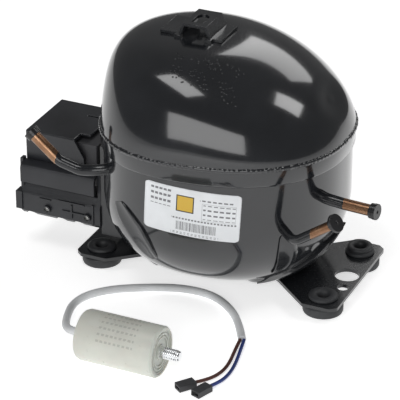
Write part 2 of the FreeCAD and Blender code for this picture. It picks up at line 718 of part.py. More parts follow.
def make_motor(s):
    """Stator with windings in 24 slots, rotor with end rings, and the four motor bolts."""
    half = s.stator_side / 2
    chamfer = 14
    core = new_body("stator_blank", (s.crank_x, 0, s.stator_low))
    profile = Profile(core).outline([
        (-half, chamfer - half), (chamfer - half, -half), (half - chamfer, -half),
        (half, chamfer - half), (half, half - chamfer), (half - chamfer, half),
        (chamfer - half, half), (-half, half - chamfer)])
    profile.circle(0, 0, s.stator_bore)
    for side_x, side_y in ((-1, -1), (-1, 1), (1, -1), (1, 1)):
        profile.circle(side_x * s.post_x, side_y * s.post_y, 2.6)
    pad(profile, s.stator_stack)

    centre = Vector(float(s.crank_x), 0, 0)
    bar = Part.makeBox(11, 3.2, float(s.stator_stack),
                       Vector(float(s.crank_x + s.stator_bore) + 1.5, -1.6, float(s.stator_low)))
    bars = feature("slot_bars", Part.makeCompound([spun(bar, 15 * step, centre) for step in range(24)]))
    keep("stator_core", cut("stator_core", core, [bars]))

    def end_turn(name, level):
        return turned(name, [(29.5, 1.5), (31, 0), (39, 0), (41.5, 2.5), (41.5, s.winding_rise - 3),
                             (38.5, s.winding_rise), (32, s.winding_rise), (29.5, s.winding_rise - 3)],
                      (s.crank_x, 0, level))
    upper = end_turn("upper_end_turns", s.stator_low + s.stator_stack)
    lower = end_turn("lower_end_turns", s.stator_low - s.winding_rise)
    keep("stator_windings", join("stator_windings", [upper, lower, bars]))

    rotor_radius = s.stator_bore - s.rotor_gap
    rotor = turned("rotor", [
        (s.shaft_radius, 3), (12, 3), (12, 0), (rotor_radius - 2, 0), (rotor_radius - 2, 3),
        (rotor_radius, 3), (rotor_radius, s.stator_stack + 3), (rotor_radius - 2, s.stator_stack + 3),
        (rotor_radius - 2, s.stator_stack + 6), (15, s.stator_stack + 6), (15, 32),
        (s.shaft_radius, 32)], (s.crank_x, 0, s.stator_low - 3))
    keep("rotor", rotor)

    bolts = []
    for number, (x, y) in enumerate(post_spots(s)):
        bolts.append(turned("motor_bolt_%d" % number, [
            (0, 0), (4.3, 0), (4.3, 5.9), (2.5, 5.9), (2.5, 62), (0, 62)],
            (x, y, s.stator_low - 6)))
    keep("motor_bolts", join("motor_bolts", bolts))


def make_crank(s):
    """Crankshaft with web, counterweight and pin, the oil pickup and the gallery plug."""
    web_low = s.flange_top + 0.4
    web_top = s.cylinder_level - s.yoke_rise / 2 - 0.6
    pin_x = s.crank_x - s.crank_throw
    web_rise = web_top - web_low
    journal = rod("main_journal", (s.crank_x, 0, 26), s.shaft_radius, web_low - 25)
    shoulder = rod("web_round", (s.crank_x, 0, web_low), 13, web_rise)
    arm = rod("web_arm", (pin_x, 0, web_low), 9, web_rise)
    disc = rod("weight_disc", (s.crank_x, 0, web_low), 22, web_rise)
    half = box("weight_side", (s.crank_x + 3, -15, web_low), (s.crank_x + 23, 15, web_top))
    weight = common("counterweight", disc, half)
    pin = rod("crank_pin", (pin_x, 0, web_low), s.pin_radius, 20)
    whole = join("crank_whole", [journal, shoulder, arm, weight, pin])
    plug_x = s.crank_x - s.crank_throw / 2
    plug_seat = rod("plug_seat", (plug_x, 0, web_low + 14), 2 + s.running_gap, 10)
    gallery = rod("oil_gallery", (s.crank_x, 0, 20), 2, 60)
    keep("crankshaft", cut("crankshaft", whole, [plug_seat, gallery]))
    keep("gallery_plug", rod("gallery_plug", (plug_x, 0, web_low + 14.1), 2, 5.9))
    keep("oil_pickup", turned("oil_pickup", [
        (2.2, 0), (3.4, 0), (7.4, 13.9), (7.4, 14), (5.8, 14), (5.8, 13.4)], (s.crank_x, 0, 12)))


def make_yoke_drive(s):
    """Slider block on the crank pin, the yoke it slides in, and the piston."""
    pin_x = s.crank_x - s.crank_throw
    level = s.cylinder_level
    half_rise = s.yoke_rise / 2
    half_side = s.slider_side / 2
    block = box("slider_blank", (pin_x - half_side, -11, level - half_rise + 0.2),
                (pin_x + half_side, 11, level + half_rise - 0.2))
    bore = rod("slider_bore", (pin_x, 0, level - 20), s.pin_radius + s.running_gap, 40)
    keep("slider_block", cut("slider_block", block, [bore]))

    frame = box("yoke_frame", (pin_x - half_side - 5, -25, level - half_rise),
                (pin_x + half_side + 5, 25, level + half_rise))
    slot = box("yoke_slot", (pin_x - half_side - 0.05, -19.6, level - 20),
               (pin_x + half_side + 0.05, 19.6, level + 20))
    crown_x = s.crank_x + s.block_end - 2 * s.crank_throw - 0.4
    skirt_x = crown_x - 24
    neck = rod("yoke_neck", (pin_x + half_side + 4, 0, level), 4.5,
               skirt_x + 16 - pin_x - half_side - 4, ALONG_X)
    keep("scotch_yoke", join("scotch_yoke", [cut("yoke_open", frame, [slot]), neck]))

    radius = s.bore_radius - s.running_gap / 2
    piston = turned("piston_blank", [
        (0, 24), (0, 16), (8.4, 16), (8.4, 0), (radius, 0), (radius, 12), (radius - 0.5, 12),
        (radius - 0.5, 13), (radius, 13), (radius, 17), (radius - 0.5, 17), (radius - 0.5, 18),
        (radius, 18), (radius, 24)], (skirt_x, 0, level), ALONG_X)
    relief = box("reed_relief", (crown_x - 2.6, -8.6, level - 9), (crown_x + 1, -1.4, level + 8.5))
    keep("piston", cut("piston", piston, [relief]))


def make_valve_gear(s):
    """Gaskets, valve plate, both reeds, cylinder head and its bolts."""
    level = s.cylinder_level
    face = s.crank_x + s.block_end
    low = (-s.block_half, s.flange_low + 0.5)
    high = (s.block_half, s.block_top)

    def slab(name, left, right):
        return box(name, (left, low[0], low[1]), (right, high[0], high[1]))

    plate_left = face + s.gasket
    plate_right = plate_left + s.plate_thick
    head_left = plate_right + s.gasket
    head_right = head_left + s.head_depth
    seal = slab("cylinder_gasket_blank", face, plate_left)
    window = rod("gasket_window", (face - 1, 0, level), s.bore_radius + 0.6, 3, ALONG_X)
    ways = head_bolt_ways(s, "gasket_way", face - 1, 4, 2.3)
    keep("cylinder_gasket", cut("cylinder_gasket", seal, [window] + ways))

    ports = [rod("suction_port", (plate_left - 1, -5, level + 3), 2.4, 6, ALONG_X),
             rod("discharge_port", (plate_left - 1, 5, level + 3), 2, 6, ALONG_X)]
    ways = head_bolt_ways(s, "plate_way", plate_left - 1, 6, 2.3)
    keep("valve_plate", cut("valve_plate", slab("plate_blank", plate_left, plate_right), ports + ways))

    keep("suction_reed", box("suction_reed", (plate_left - 0.3, -7.5, level - 8),
                             (plate_left - 0.05, -2.5, level + 7)))
    keep("discharge_reed", box("discharge_reed", (plate_right + 0.05, 2, level - 9),
                               (plate_right + 0.3, 8, level + 7)))

    rooms = [box("suction_room", (head_left - 2, -17.5, level - 9.4), (head_right - 2.5, -1, level + 9.4)),
             box("discharge_room", (head_left - 2, 1, level - 9.4), (head_right - 2.5, 17.5, level + 9.4))]
    ways = head_bolt_ways(s, "head_way", plate_right - 1, 18, 2.3)
    inlet = rod("head_inlet", (head_right - 5, -21, level), 2.2, 5, ALONG_Y)
    keep("cylinder_head", cut("cylinder_head", slab("head_blank", head_left, head_right),
                              rooms + ways + [inlet]))
    rooms = [box("gasket_room_%d" % side, (plate_right - 1, side * 9.25 - 8.25, level - 9.4),
                 (head_left + 1, side * 9.25 + 8.25, level + 9.4)) for side in (-1, 1)]
    ways = head_bolt_ways(s, "head_gasket_way", plate_right - 1, 4, 2.3)
    keep("head_gasket", cut("head_gasket", slab("head_gasket_blank", plate_right, head_left), rooms + ways))

    bolts = []
    for side_y, side_z in ((-1, -1), (-1, 1), (1, -1), (1, 1)):
        spot = (face - 14, side_y * s.head_bolt_y, level + side_z * s.head_bolt_z)
        name = "head_bolt_%d" % len(bolts)
        shank = s.gasket * 2 + s.plate_thick + s.head_depth + 14
        bolts.append(turned(name, [(0, 0), (2.1, 0), (2.1, shank), (3.8, shank),
                                   (3.8, shank + 2.4), (0, shank + 2.4)], spot, ALONG_X))
    keep("head_bolts", join("head_bolts", bolts))
    return head_right


def make_mufflers(s, head_right):
    """Suction muffler beside the block and discharge muffler on the flange."""
    level = s.cylinder_level
    front = -s.block_half
    case = new_body("suction_case", (0, 0, s.flange_top + 0.3))
    pad(Profile(case).outline([(18.5, -50), (47, -50), (47, -24), (18.5, -24)]), 28)
    round_edges(case, 4, is_upright)
    arm = box("suction_arm", (44, -31, level - 5), (head_right - 0.5, front - 0.05, level + 5))
    way = rod("suction_arm_way", (head_right - 5, -26, level), 2.2, 8, ALONG_Y)
    keep("suction_muffler", cut("suction_muffler", join("suction_case_arm", [case, arm]), [way]))
    keep("discharge_muffler", turned("discharge_muffler", [
        (0, 0), (9.5, 0), (9.5, 16), (6, 20.5), (0, 20.5)], (s.crank_x - 38, 0, s.flange_top)))


def make_suspension(s, inside):
    """Four studs on the shell's floor and the coil springs that stand on them."""
    seat_level = float(s.seat_level)
    studs = []
    for x, y in post_spots(s):
        foot = Part.makeCylinder(7.5, seat_level, Vector(float(x), float(y), 0))
        foot = foot.fuse(Part.makeCylinder(4.3, seat_level + 4, Vector(float(x), float(y), 0)))
        studs.append(foot.common(inside))
    keep("spring_seats", feature("spring_seats", Part.makeCompound(studs)))
    coils = []
    low = seat_level + 0.85
    high = float(s.stator_low) - 0.85
    for x, y in post_spots(s):
        helix = Part.makeHelix((high - low) / 5, high - low, 5.5)
        ring = Part.Wire([Part.Circle(Vector(5.5, 0, 0), Vector(0, 1, 0.1), 0.8).toShape()])
        coil = Part.Wire(helix).makePipeShell([ring], True, True)
        coil.translate(Vector(float(x), float(y), low))
        coils.append(coil)
    keep("suspension_springs", feature("suspension_springs", Part.makeCompound(coils)))


def make_inner_lines(s):
    """Discharge loop from the muffler to the shell, and the motor's lead with its plug."""
    loop_points = [(-44, -9.7, 109), (-44, -22, 110), (-40, -38, 108), (-28, -52, 104),
                   (-10, -60, 100), (12, -63, 95), (32, -60, 88), (46, -53, 79), (53.2, -46.6, 70.4)]
    keep("discharge_loop", hollow_tube("discharge_loop", loop_points, 2.4, 0.7, 14))
    plug = box("lead_plug", (-81, -10, s.terminal_level - 10), (-73.5, 10, s.terminal_level + 8))
    ways = [rod("plug_way_%d" % number, (-82, y, z), 1.7, 9, ALONG_X)
            for number, (y, z) in enumerate(pin_spots(s))]
    wire = route_wire([(-73.5, 0, 72), (-67, 0, 76), (-61, 0, 82), (-54, 0, 84.5), (-47.7, 0, 84.5)])[0]
    lead = feature("lead_bundle", pipe_along(wire, 2.4))
    keep("motor_leads", join("motor_leads", [cut("lead_plug_open", plug, ways), lead]))


# ---------------------------------------------------------------- run capacitor and its lead
SHEATH_ROUTE = [
    (-38.3, -157, 17.5), (-46.1, -155.4, 16.5), (-52.8, -150.7, 14.1), (-58.3, -142.9, 11.1),
    (-64.3, -131, 6.8), (-70, -117.5, 3.4), (-73.5, -103.5, 2.9), (-70, -88.5, 2.9),
    (-58, -74.5, 2.9), (-37, -62, 2.9), (-12.5, -51.8, 2.9), (11.5, -52.8, 2.9),
    (30.5, -66, 2.9), (44, -84, 2.9), (51.6, -98, 2.9)]
BROWN_ROUTE = [
    (50.6, -98.9, 2.6), (52.4, -112, 1.7), (55.4, -128, 1.4), (55, -141, 1.4),
    (50.5, -151.5, 1.4), (44.8, -159.8, 2.4)]
BLUE_ROUTE = [
    (53.1, -97.9, 2.6), (56.2, -112, 1.7), (59.6, -128, 1.4), (60.6, -141, 1.4),
    (58.8, -151.5, 1.4), (55.4, -160.4, 2.4)]


def make_capacitor(s):
    """Moulded capacitor can with its stud, printed face and lead."""
    axis = Rotation(UP, Vector(1, 0, 0))
    length = s.can_length
    radius = s.can_radius
    can = turned("capacitor_can", [
        (0, 0), (radius - 3, 0), (radius - 1, 0.9), (radius, 3), (radius, length - 1.2),
        (radius - 1, length), (radius - 2.4, length), (radius - 2.4, length - 3), (0, length - 3)],
        (s.can_x, s.can_y, s.can_radius), axis)
    keep("capacitor_can", can)
    end = [(0, length - 3), (radius - 2.45, length - 3)]
    for step in (2.45, 4.6, 6.8):
        end += [(radius - step, length - 0.6), (radius - step - 1.1, length - 0.6),
                (radius - step - 1.1, length - 1.4), (radius - step - 2.1, length - 1.4)]
    end += [(5.2, length - 1.4), (5.2, length - 0.4), (s.stud_radius, length - 0.4),
            (s.stud_radius, length - 2.6), (0, length - 2.6)]
    keep("capacitor_end", turned("capacitor_end", end, (s.can_x, s.can_y, s.can_radius), axis))
    base = length - 2.6
    ribs = []
    for step in range(7):
        low = base + 5.4 + step * 1.25
        ribs += [(s.stud_radius - 0.45, low), (s.stud_radius, low + 0.45), (s.stud_radius, low + 0.75)]
    tip = base + 5.4 + 7 * 1.25
    outline = [(0, base), (s.stud_radius, base), (s.stud_radius, base + 5)] + ribs
    outline += [(s.stud_radius - 0.45, tip), (s.stud_radius - 0.45, tip + 1),
                (s.stud_radius - 1.1, tip + 1.7), (0, tip + 1.7)]
    keep("capacitor_stud", turned("capacitor_stud", outline, (s.can_x, s.can_y, s.can_radius), axis))


def make_receptacle(name, start, heading):
    """Insulated push-on connector on a wire's end."""
    turn = Rotation(Vector(1, 0, 0), Vector(*heading))
    sleeve = box(name + "_sleeve", (0, -3.6, -2.3), (13, 3.6, 2.3))
    mouth = box(name + "_mouth", (6, -2.9, -0.9), (14, 2.9, 0.9))
    piece = cut(name, sleeve, [mouth])
    piece.Placement = Placement(Vector(*start), turn)
    return keep(name, piece)


def make_lead(s):
    keep("sheath_cord", cord_tube("sheath_cord", SHEATH_ROUTE, s.sheath_radius))
    keep("brown_wire", cord_tube("brown_wire", BROWN_ROUTE, s.wire_radius))
    keep("blue_wire", cord_tube("blue_wire", BLUE_ROUTE, s.wire_radius))
    make_receptacle("brown_receptacle", (44.8, -159.8, 2.4), (-0.6, -0.8, 0))
    make_receptacle("blue_receptacle", (55.4, -160.4, 2.4), (-0.35, -0.94, 0))


# ---------------------------------------------------------------- assembly and export
PROCESS_ROUTE = [(-57, -53, 91.3), (-68, -65.5, 89.8), (-84, -66.5, 87.2), (-101, -66, 91),
                 (-121.5, -66, 108.2)]
SUCTION_ROUTE = [(68, -25, 87), (84, -33.2, 86), (98, -34.3, 85.4), (121.5, -37.7, 86.4)]
DISCHARGE_ROUTE = [(55.5, -48.7, 69), (75.5, -67.5, 68), (107, -74.1, 92.2)]


def heading_of(route):
    step = Vector(*route[-1]) - Vector(*route[-2])
    return tuple(step.normalize())


def check_and_write():
    doc.recompute()
    for item in doc.Objects:
        if "Invalid" in item.State or "Error" in item.State:
            raise RuntimeError("%s is %s" % (item.Name, item.State))
    os.makedirs("parts", exist_ok=True)
    for node, piece in kept.items():
        shape = piece.Shape
        if shape.isNull() or not shape.isValid() or not shape.Solids:
            raise RuntimeError("%s has no valid shape" % node)
        shape.exportStep("parts/%s.step" % node)
        print("%-22s solids %2d volume %9.1f" % (node, len(shape.Solids), shape.Volume))


def main():
    s = write_sheet()
    make_tubes(s, "process_tube", PROCESS_ROUTE, s.suction_radius, 16)
    make_tubes(s, "suction_tube", SUCTION_ROUTE, s.suction_radius, 22)
    make_tubes(s, "discharge_tube", DISCHARGE_ROUTE, s.discharge_radius, 15)
    blanks = []
    for route, radius, bend in ((PROCESS_ROUTE, s.suction_radius, 16),
                                (SUCTION_ROUTE, s.suction_radius, 22),
                                (DISCHARGE_ROUTE, s.discharge_radius, 15)):
        blanks.append(pipe_along(route_wire(route, bend)[0], float(radius)))
    make_cap(s, "process_cap", PROCESS_ROUTE[-1], heading_of(PROCESS_ROUTE), s.suction_radius, 5.5)
    make_cap(s, "suction_cap", SUCTION_ROUTE[-1], heading_of(SUCTION_ROUTE), s.suction_radius, 5.6)
    make_cap(s, "discharge_cap", DISCHARGE_ROUTE[-1], heading_of(DISCHARGE_ROUTE),
             s.discharge_radius, 6.4)
    fills, inside, dome = make_shell(s, blanks)
    make_foot(s, "left_foot", -1, fills)
    make_foot(s, "right_foot", 1, fills)
    make_grommets(s)
    make_top_bracket(dome)
    make_terminal(s)
    make_starting_gear(s)
    make_cover(s)
    make_relay_base(s)
    make_lid()
    make_board(s)
    make_terminal_bracket(fills)
    make_crankcase(s)
    make_motor(s)
    make_crank(s)
    make_yoke_drive(s)
    head_right = make_valve_gear(s)
    make_mufflers(s, head_right)
    make_suspension(s, inside)
    make_inner_lines(s)
    make_capacitor(s)
    make_lead(s)
    check_and_write()


main()
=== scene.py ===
"""Looks for the hermetic reciprocating compressor: finishes, pieces, cords and the stage."""
import json
import math

import bmesh
import bpy
from bpy.props import FloatProperty, FloatVectorProperty, IntProperty, PointerProperty
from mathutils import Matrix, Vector


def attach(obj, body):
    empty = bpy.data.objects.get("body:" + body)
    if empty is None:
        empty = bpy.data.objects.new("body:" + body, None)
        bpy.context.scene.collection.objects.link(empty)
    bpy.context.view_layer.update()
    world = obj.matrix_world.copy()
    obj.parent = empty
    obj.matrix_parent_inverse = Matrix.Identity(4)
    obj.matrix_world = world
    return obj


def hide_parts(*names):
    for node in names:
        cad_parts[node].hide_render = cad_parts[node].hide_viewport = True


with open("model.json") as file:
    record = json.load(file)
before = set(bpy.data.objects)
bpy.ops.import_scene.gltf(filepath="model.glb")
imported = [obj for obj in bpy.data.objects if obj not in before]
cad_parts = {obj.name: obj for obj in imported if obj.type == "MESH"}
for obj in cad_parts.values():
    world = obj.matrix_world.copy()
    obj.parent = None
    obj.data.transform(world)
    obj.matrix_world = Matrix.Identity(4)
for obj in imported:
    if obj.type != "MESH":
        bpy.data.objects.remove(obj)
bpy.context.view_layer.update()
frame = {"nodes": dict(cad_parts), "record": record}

bl_info = {
    "name": "Hermetic compressor looks",
    "version": (1, 0, 0),
    "blender": (4, 5, 0),
    "location": "3D View > Sidebar > Compressor",
    "description": "Builds the compressor's shell, rubber, mouldings, cords and stage",
    "category": "Object",
}

RECORD = frame["record"]
BODY_OF = {node: body for body, nodes in RECORD["behaviour"]["bodies"].items() for node in nodes}
SLOT_OF = {part["node"]: part["material_slot"] for part in RECORD["subparts"]}
MM = 0.001


# ---------------------------------------------------------------- sizes and colours
class CompressorSizes(bpy.types.PropertyGroup):
    """Sizes of the shell, the edges and the small details."""

    half_x: FloatProperty(name="Shell half length", description="Half length of the dome's rim",
                          default=0.0866, subtype="DISTANCE", unit="LENGTH")
    half_y: FloatProperty(name="Shell half width", description="Half width of the dome's rim",
                          default=0.0826, subtype="DISTANCE", unit="LENGTH")
    rise: FloatProperty(name="Dome rise", description="Height of the dome above the seam",
                        default=0.060, subtype="DISTANCE", unit="LENGTH")
    seam: FloatProperty(name="Seam level", description="Height of the seam above the feet",
                        default=0.115, subtype="DISTANCE", unit="LENGTH")
    wall: FloatProperty(name="Shell wall", description="Thickness of the pressed shell",
                        default=0.003, subtype="DISTANCE", unit="LENGTH")
    bead: FloatProperty(name="Weld bead radius", description="Radius of the seam's weld bead",
                        default=0.00205, subtype="DISTANCE", unit="LENGTH")
    edge: FloatProperty(name="Edge rounding", description="Rounding on pressed and moulded edges",
                        default=0.0004, subtype="DISTANCE", unit="LENGTH")
    dot: FloatProperty(name="Mark dot radius", description="Radius of the peened dots on the crown",
                       default=0.0007, subtype="DISTANCE", unit="LENGTH")
    dot_density: FloatProperty(name="Mark dot density", description="Peened dots per square metre",
                               default=120000.0, min=0.0)
    ripples: IntProperty(name="Weld ripples", description="Ripples round the weld bead",
                         default=170, min=0)


class CompressorColours(bpy.types.PropertyGroup):
    """Base colours of the finishes."""

    enamel: FloatVectorProperty(name="Enamel", description="Gloss enamel of the shell",
                                default=(0.010, 0.011, 0.013), size=3, subtype="COLOR")
    rubber: FloatVectorProperty(name="Rubber", description="Rubber of the feet and caps",
                                default=(0.020, 0.021, 0.023), size=3, subtype="COLOR")
    moulding: FloatVectorProperty(name="Moulding", description="Moulded electrical housings",
                                  default=(0.013, 0.014, 0.017), size=3, subtype="COLOR")
    copper: FloatVectorProperty(name="Copper", description="Bare stub tube ends",
                                default=(0.34, 0.20, 0.12), size=3, subtype="COLOR")
    can: FloatVectorProperty(name="Can", description="Capacitor's moulded can",
                             default=(0.62, 0.63, 0.57), size=3, subtype="COLOR")
    label: FloatVectorProperty(name="Label", description="Printed label film",
                               default=(0.78, 0.80, 0.82), size=3, subtype="COLOR")
    sheath: FloatVectorProperty(name="Sheath", description="Lead's outer sheath",
                                default=(0.58, 0.59, 0.60), size=3, subtype="COLOR")


# ---------------------------------------------------------------- shader maths
class Wire:
    """A value socket that can be used in Python expressions."""

    def __init__(self, shader, socket):
        self.shader = shader
        self.socket = socket

    def math(self, operation, first, second=None, third=None):
        inputs = {index: value for index, value in enumerate((first, second, third))
                  if value is not None}
        return self.shader.add("ShaderNodeMath", inputs, operation=operation)

    def __add__(self, other):
        return self.math("ADD", self, other)

    __radd__ = __add__

    def __mul__(self, other):
        return self.math("MULTIPLY", self, other)

    __rmul__ = __mul__

    def __sub__(self, other):
        return self.math("SUBTRACT", self, other)

    def __rsub__(self, other):
        return self.math("SUBTRACT", other, self)

    def __truediv__(self, other):
        return self.math("DIVIDE", self, other)

    def __rtruediv__(self, other):
        return self.math("DIVIDE", other, self)

    def __gt__(self, other):
        return self.math("GREATER_THAN", self, other)

    def __lt__(self, other):
        return self.math("LESS_THAN", self, other)

    def wrapped(self, top):
        return self.math("WRAP", self, top, 0.0)

    def largest(self, other):
        return self.math("MAXIMUM", self, other)


class Shader:
    """One material's node tree."""

    def __init__(self, name):
        self.material = bpy.data.materials.new(name)
        self.material.use_nodes = True
        self.tree = self.material.node_tree
        self.base = self.tree.nodes["Principled BSDF"]

    def add(self, kind, inputs=None, output=0, **settings):
        node = self.tree.nodes.new(kind)
        for key, value in settings.items():
            if key == "stops":
                ramp = node.color_ramp
                for index, (place, colour) in enumerate(value):
                    stop = ramp.elements[index] if index < 2 else ramp.elements.new(place)
                    stop.position = place
                    stop.color = (*colour, 1)
            else:
                setattr(node, key, value)
        for key, value in (inputs or {}).items():
            self.feed(node.inputs[key], value)
        return Wire(self, node.outputs[output])

    def feed(self, socket, value):
        if isinstance(value, Wire):
            self.tree.links.new(value.socket, socket)
        else:
            socket.default_value = value

    def set(self, name, value):
        if isinstance(value, tuple) and len(value) == 3:
            value = (*value, 1)
        self.feed(self.base.inputs[name], value)

    def place(self):
        return self.add("ShaderNodeTexCoord", output="Object")

    def axes(self):
        place = self.place()
        node = self.tree.nodes.new("ShaderNodeSeparateXYZ")
        self.feed(node.inputs[0], place)
        return [Wire(self, node.outputs[index]) for index in range(3)]

    def noise(self, scale, detail=3.0, roughness=0.5):
        return self.add("ShaderNodeTexNoise", {
            "Vector": self.place(), "Scale": scale, "Detail": detail, "Roughness": roughness})

    def band(self, value, low, high, out_low=0.0, out_high=1.0):
        return self.add("ShaderNodeMapRange", {
            0: value, 1: low, 2: high, 3: out_low, 4: out_high}, clamp=True)

    def mix(self, share, first, second):
        def colour(value):
            return value if isinstance(value, Wire) else (*value, 1)
        return self.add("ShaderNodeMix", {0: share, 6: colour(first), 7: colour(second)},
                        output=2, data_type="RGBA")

    def turn(self, first, second):
        """Angle of a point round an axis, in radians from 0 to a full turn."""
        return self.add("ShaderNodeMath", {0: first, 1: second}, operation="ARCTAN2") + math.pi

    def bump(self, height, strength, distance):
        self.set("Normal", self.add("ShaderNodeBump", {
            "Height": height, "Strength": strength, "Distance": distance}))


def coated(name, colour, gloss, metallic=0.0, peel=0.15, grain=260.0, wear=0.35, coat=0.0,
           depth=0.0002):
    """A finish with uneven gloss, a slight colour drift and a fine surface texture."""
    shader = Shader(name)
    broad = shader.noise(34.0, 4.0)
    fine = shader.noise(grain, 3.0)
    drift = tuple(min(1.0, part * (1 + wear) + 0.004 * wear) for part in colour)
    shader.set("Base Color", shader.mix(shader.band(broad, 0.4, 0.72), tuple(colour), drift))
    uneven = broad * 0.6 + fine * 0.4
    shader.set("Roughness", shader.band(uneven, 0.3, 0.7, gloss * 0.8, gloss * 1.25))
    shader.set("Metallic", metallic)
    shader.set("Coat Weight", coat)
    shader.set("Coat Roughness", 0.05)
    shader.bump(fine, peel, depth)
    return shader


def enamel_finish(colours):
    """Gloss enamel with a little orange peel, dust and fine scuffs."""
    shader = coated("gloss_enamel", tuple(colours.enamel), 0.13, peel=0.05, grain=420.0, coat=0.6)
    shader.set("Coat Roughness", 0.06)
    return shader.material


def copper_finish(colours):
    """Bare copper ends on tubes whose roots carry the shell's enamel."""
    shader = Shader("painted_copper")
    x, y, _ = shader.axes()
    wobble = shader.noise(300.0, 2.0) * 0.0024 - 0.0012
    process = (x * -1.0 + wobble) > 0.102
    suction = (x + wobble) > 0.098
    discharge = (y < -0.055) * ((x + wobble) > 0.089)
    bare = process.largest(suction).largest(discharge)
    tarnish = shader.noise(120.0, 4.0)
    warm = shader.mix(shader.band(tarnish, 0.35, 0.7), tuple(colours.copper), (0.20, 0.10, 0.055))
    shader.set("Base Color", shader.mix(bare, (0.010, 0.011, 0.013), warm))
    shader.set("Metallic", bare)
    shader.set("Roughness", bare * 0.12 + shader.band(tarnish, 0.3, 0.7, 0.12, 0.24))
    shader.bump(shader.noise(700.0, 2.0), 0.12, 0.0002)
    return shader.material


LABEL_TILT = math.radians(3)
LABEL_PRINT_X = 0.005
LABEL_PRINT_Z = 0.080


def label_finish(colours):
    """Silvery film with generic print: rows of dashes, a plain amber block, plain stripes."""
    shader = Shader("label_print")
    x, _, z = shader.axes()
    across, rise = x - LABEL_PRINT_X, z - LABEL_PRINT_Z
    along = across * math.cos(LABEL_TILT) - rise * math.sin(LABEL_TILT)
    up = across * math.sin(LABEL_TILT) + rise * math.cos(LABEL_TILT)

    def window(left, right, low, high):
        inside = (along > left) * (along < right)
        return inside * (up > low) * (up < high)

    def dashes(area, pitch_x, pitch_z, fill_x, fill_z):
        jitter = shader.noise(900.0, 0.0) * 0.6
        across = (along + 0.1).wrapped(pitch_x) / pitch_x + jitter * 0.4
        down = (up + 0.1).wrapped(pitch_z) / pitch_z
        return area * (across < fill_x) * (down < fill_z)

    ink = dashes(window(-0.0290, -0.0135, 0.0020, 0.0150), 0.0031, 0.0042, 0.85, 0.42)
    ink = ink.largest(dashes(window(0.0065, 0.0285, 0.0105, 0.0140), 0.0036, 0.006, 0.8, 0.6))
    ink = ink.largest(dashes(window(0.0090, 0.0300, -0.0030, 0.0080), 0.0040, 0.0037, 0.8, 0.34))
    ink = ink.largest(dashes(window(-0.0130, 0.0310, -0.0058, -0.0044), 0.0022, 0.0060, 0.75, 0.9))
    ink = ink.largest(dashes(window(-0.0130, 0.0200, -0.0170, -0.0156), 0.0026, 0.0060, 0.7, 0.9))
    code = shader.add("ShaderNodeTexNoise", {"W": along * 2100.0, "Scale": 1.0, "Detail": 0.0},
                      noise_dimensions="1D")
    ink = ink.largest(window(-0.0100, 0.0180, -0.0140, -0.0075) * (code > 0.5))
    rule = window(0.0080, 0.0305, -0.0040, 0.0090) * (1 - window(0.0083, 0.0302, -0.0037, 0.0087))
    ink = ink.largest(rule * 0.5)
    plain = shader.mix(shader.band(shader.noise(60.0), 0.35, 0.7), tuple(colours.label),
                       tuple(part * 0.9 for part in colours.label))
    colour = shader.mix(ink * 0.85, plain, (0.07, 0.07, 0.08))
    border = window(-0.0100, 0.0025, 0.0000, 0.0125)
    colour = shader.mix(border, colour, (0.03, 0.03, 0.03))
    amber = window(-0.0092, 0.0017, 0.0008, 0.0117)
    shader.set("Base Color", shader.mix(amber, colour, (0.62, 0.40, 0.05)))
    shader.set("Roughness", shader.band(shader.noise(500.0), 0.3, 0.7, 0.3, 0.42))
    shader.bump(shader.noise(900.0), 0.04, 0.0001)
    return shader.material


CAN_AXIS_Y = -0.157
CAN_AXIS_Z = 0.0175


def can_finish(colours):
    """Off-white moulding with faint generic print round its middle."""
    shader = Shader("can_moulding")
    x, y, z = shader.axes()
    round_way = shader.turn(y - CAN_AXIS_Y, z - CAN_AXIS_Z)
    across = (x + 0.2).wrapped(0.0032) / 0.0032 + shader.noise(700.0, 0.0) * 0.5
    down = (round_way + 4.0).wrapped(0.26) / 0.26
    band = (x > -0.022) * (x < 0.006) * (round_way > 1.9) * (round_way < 3.4)
    print_mask = band * (across < 0.85) * (down < 0.34)
    stain = shader.band(shader.noise(45.0, 4.0), 0.4, 0.75)
    plain = shader.mix(stain, tuple(colours.can), tuple(part * 0.88 for part in colours.can))
    shader.set("Base Color", shader.mix(print_mask * 0.4, plain, (0.25, 0.25, 0.23)))
    shader.set("Roughness", shader.band(shader.noise(300.0), 0.3, 0.7, 0.26, 0.42))
    shader.set("Subsurface Weight", 0.05)
    shader.bump(shader.noise(350.0), 0.06, 0.0002)
    return shader.material


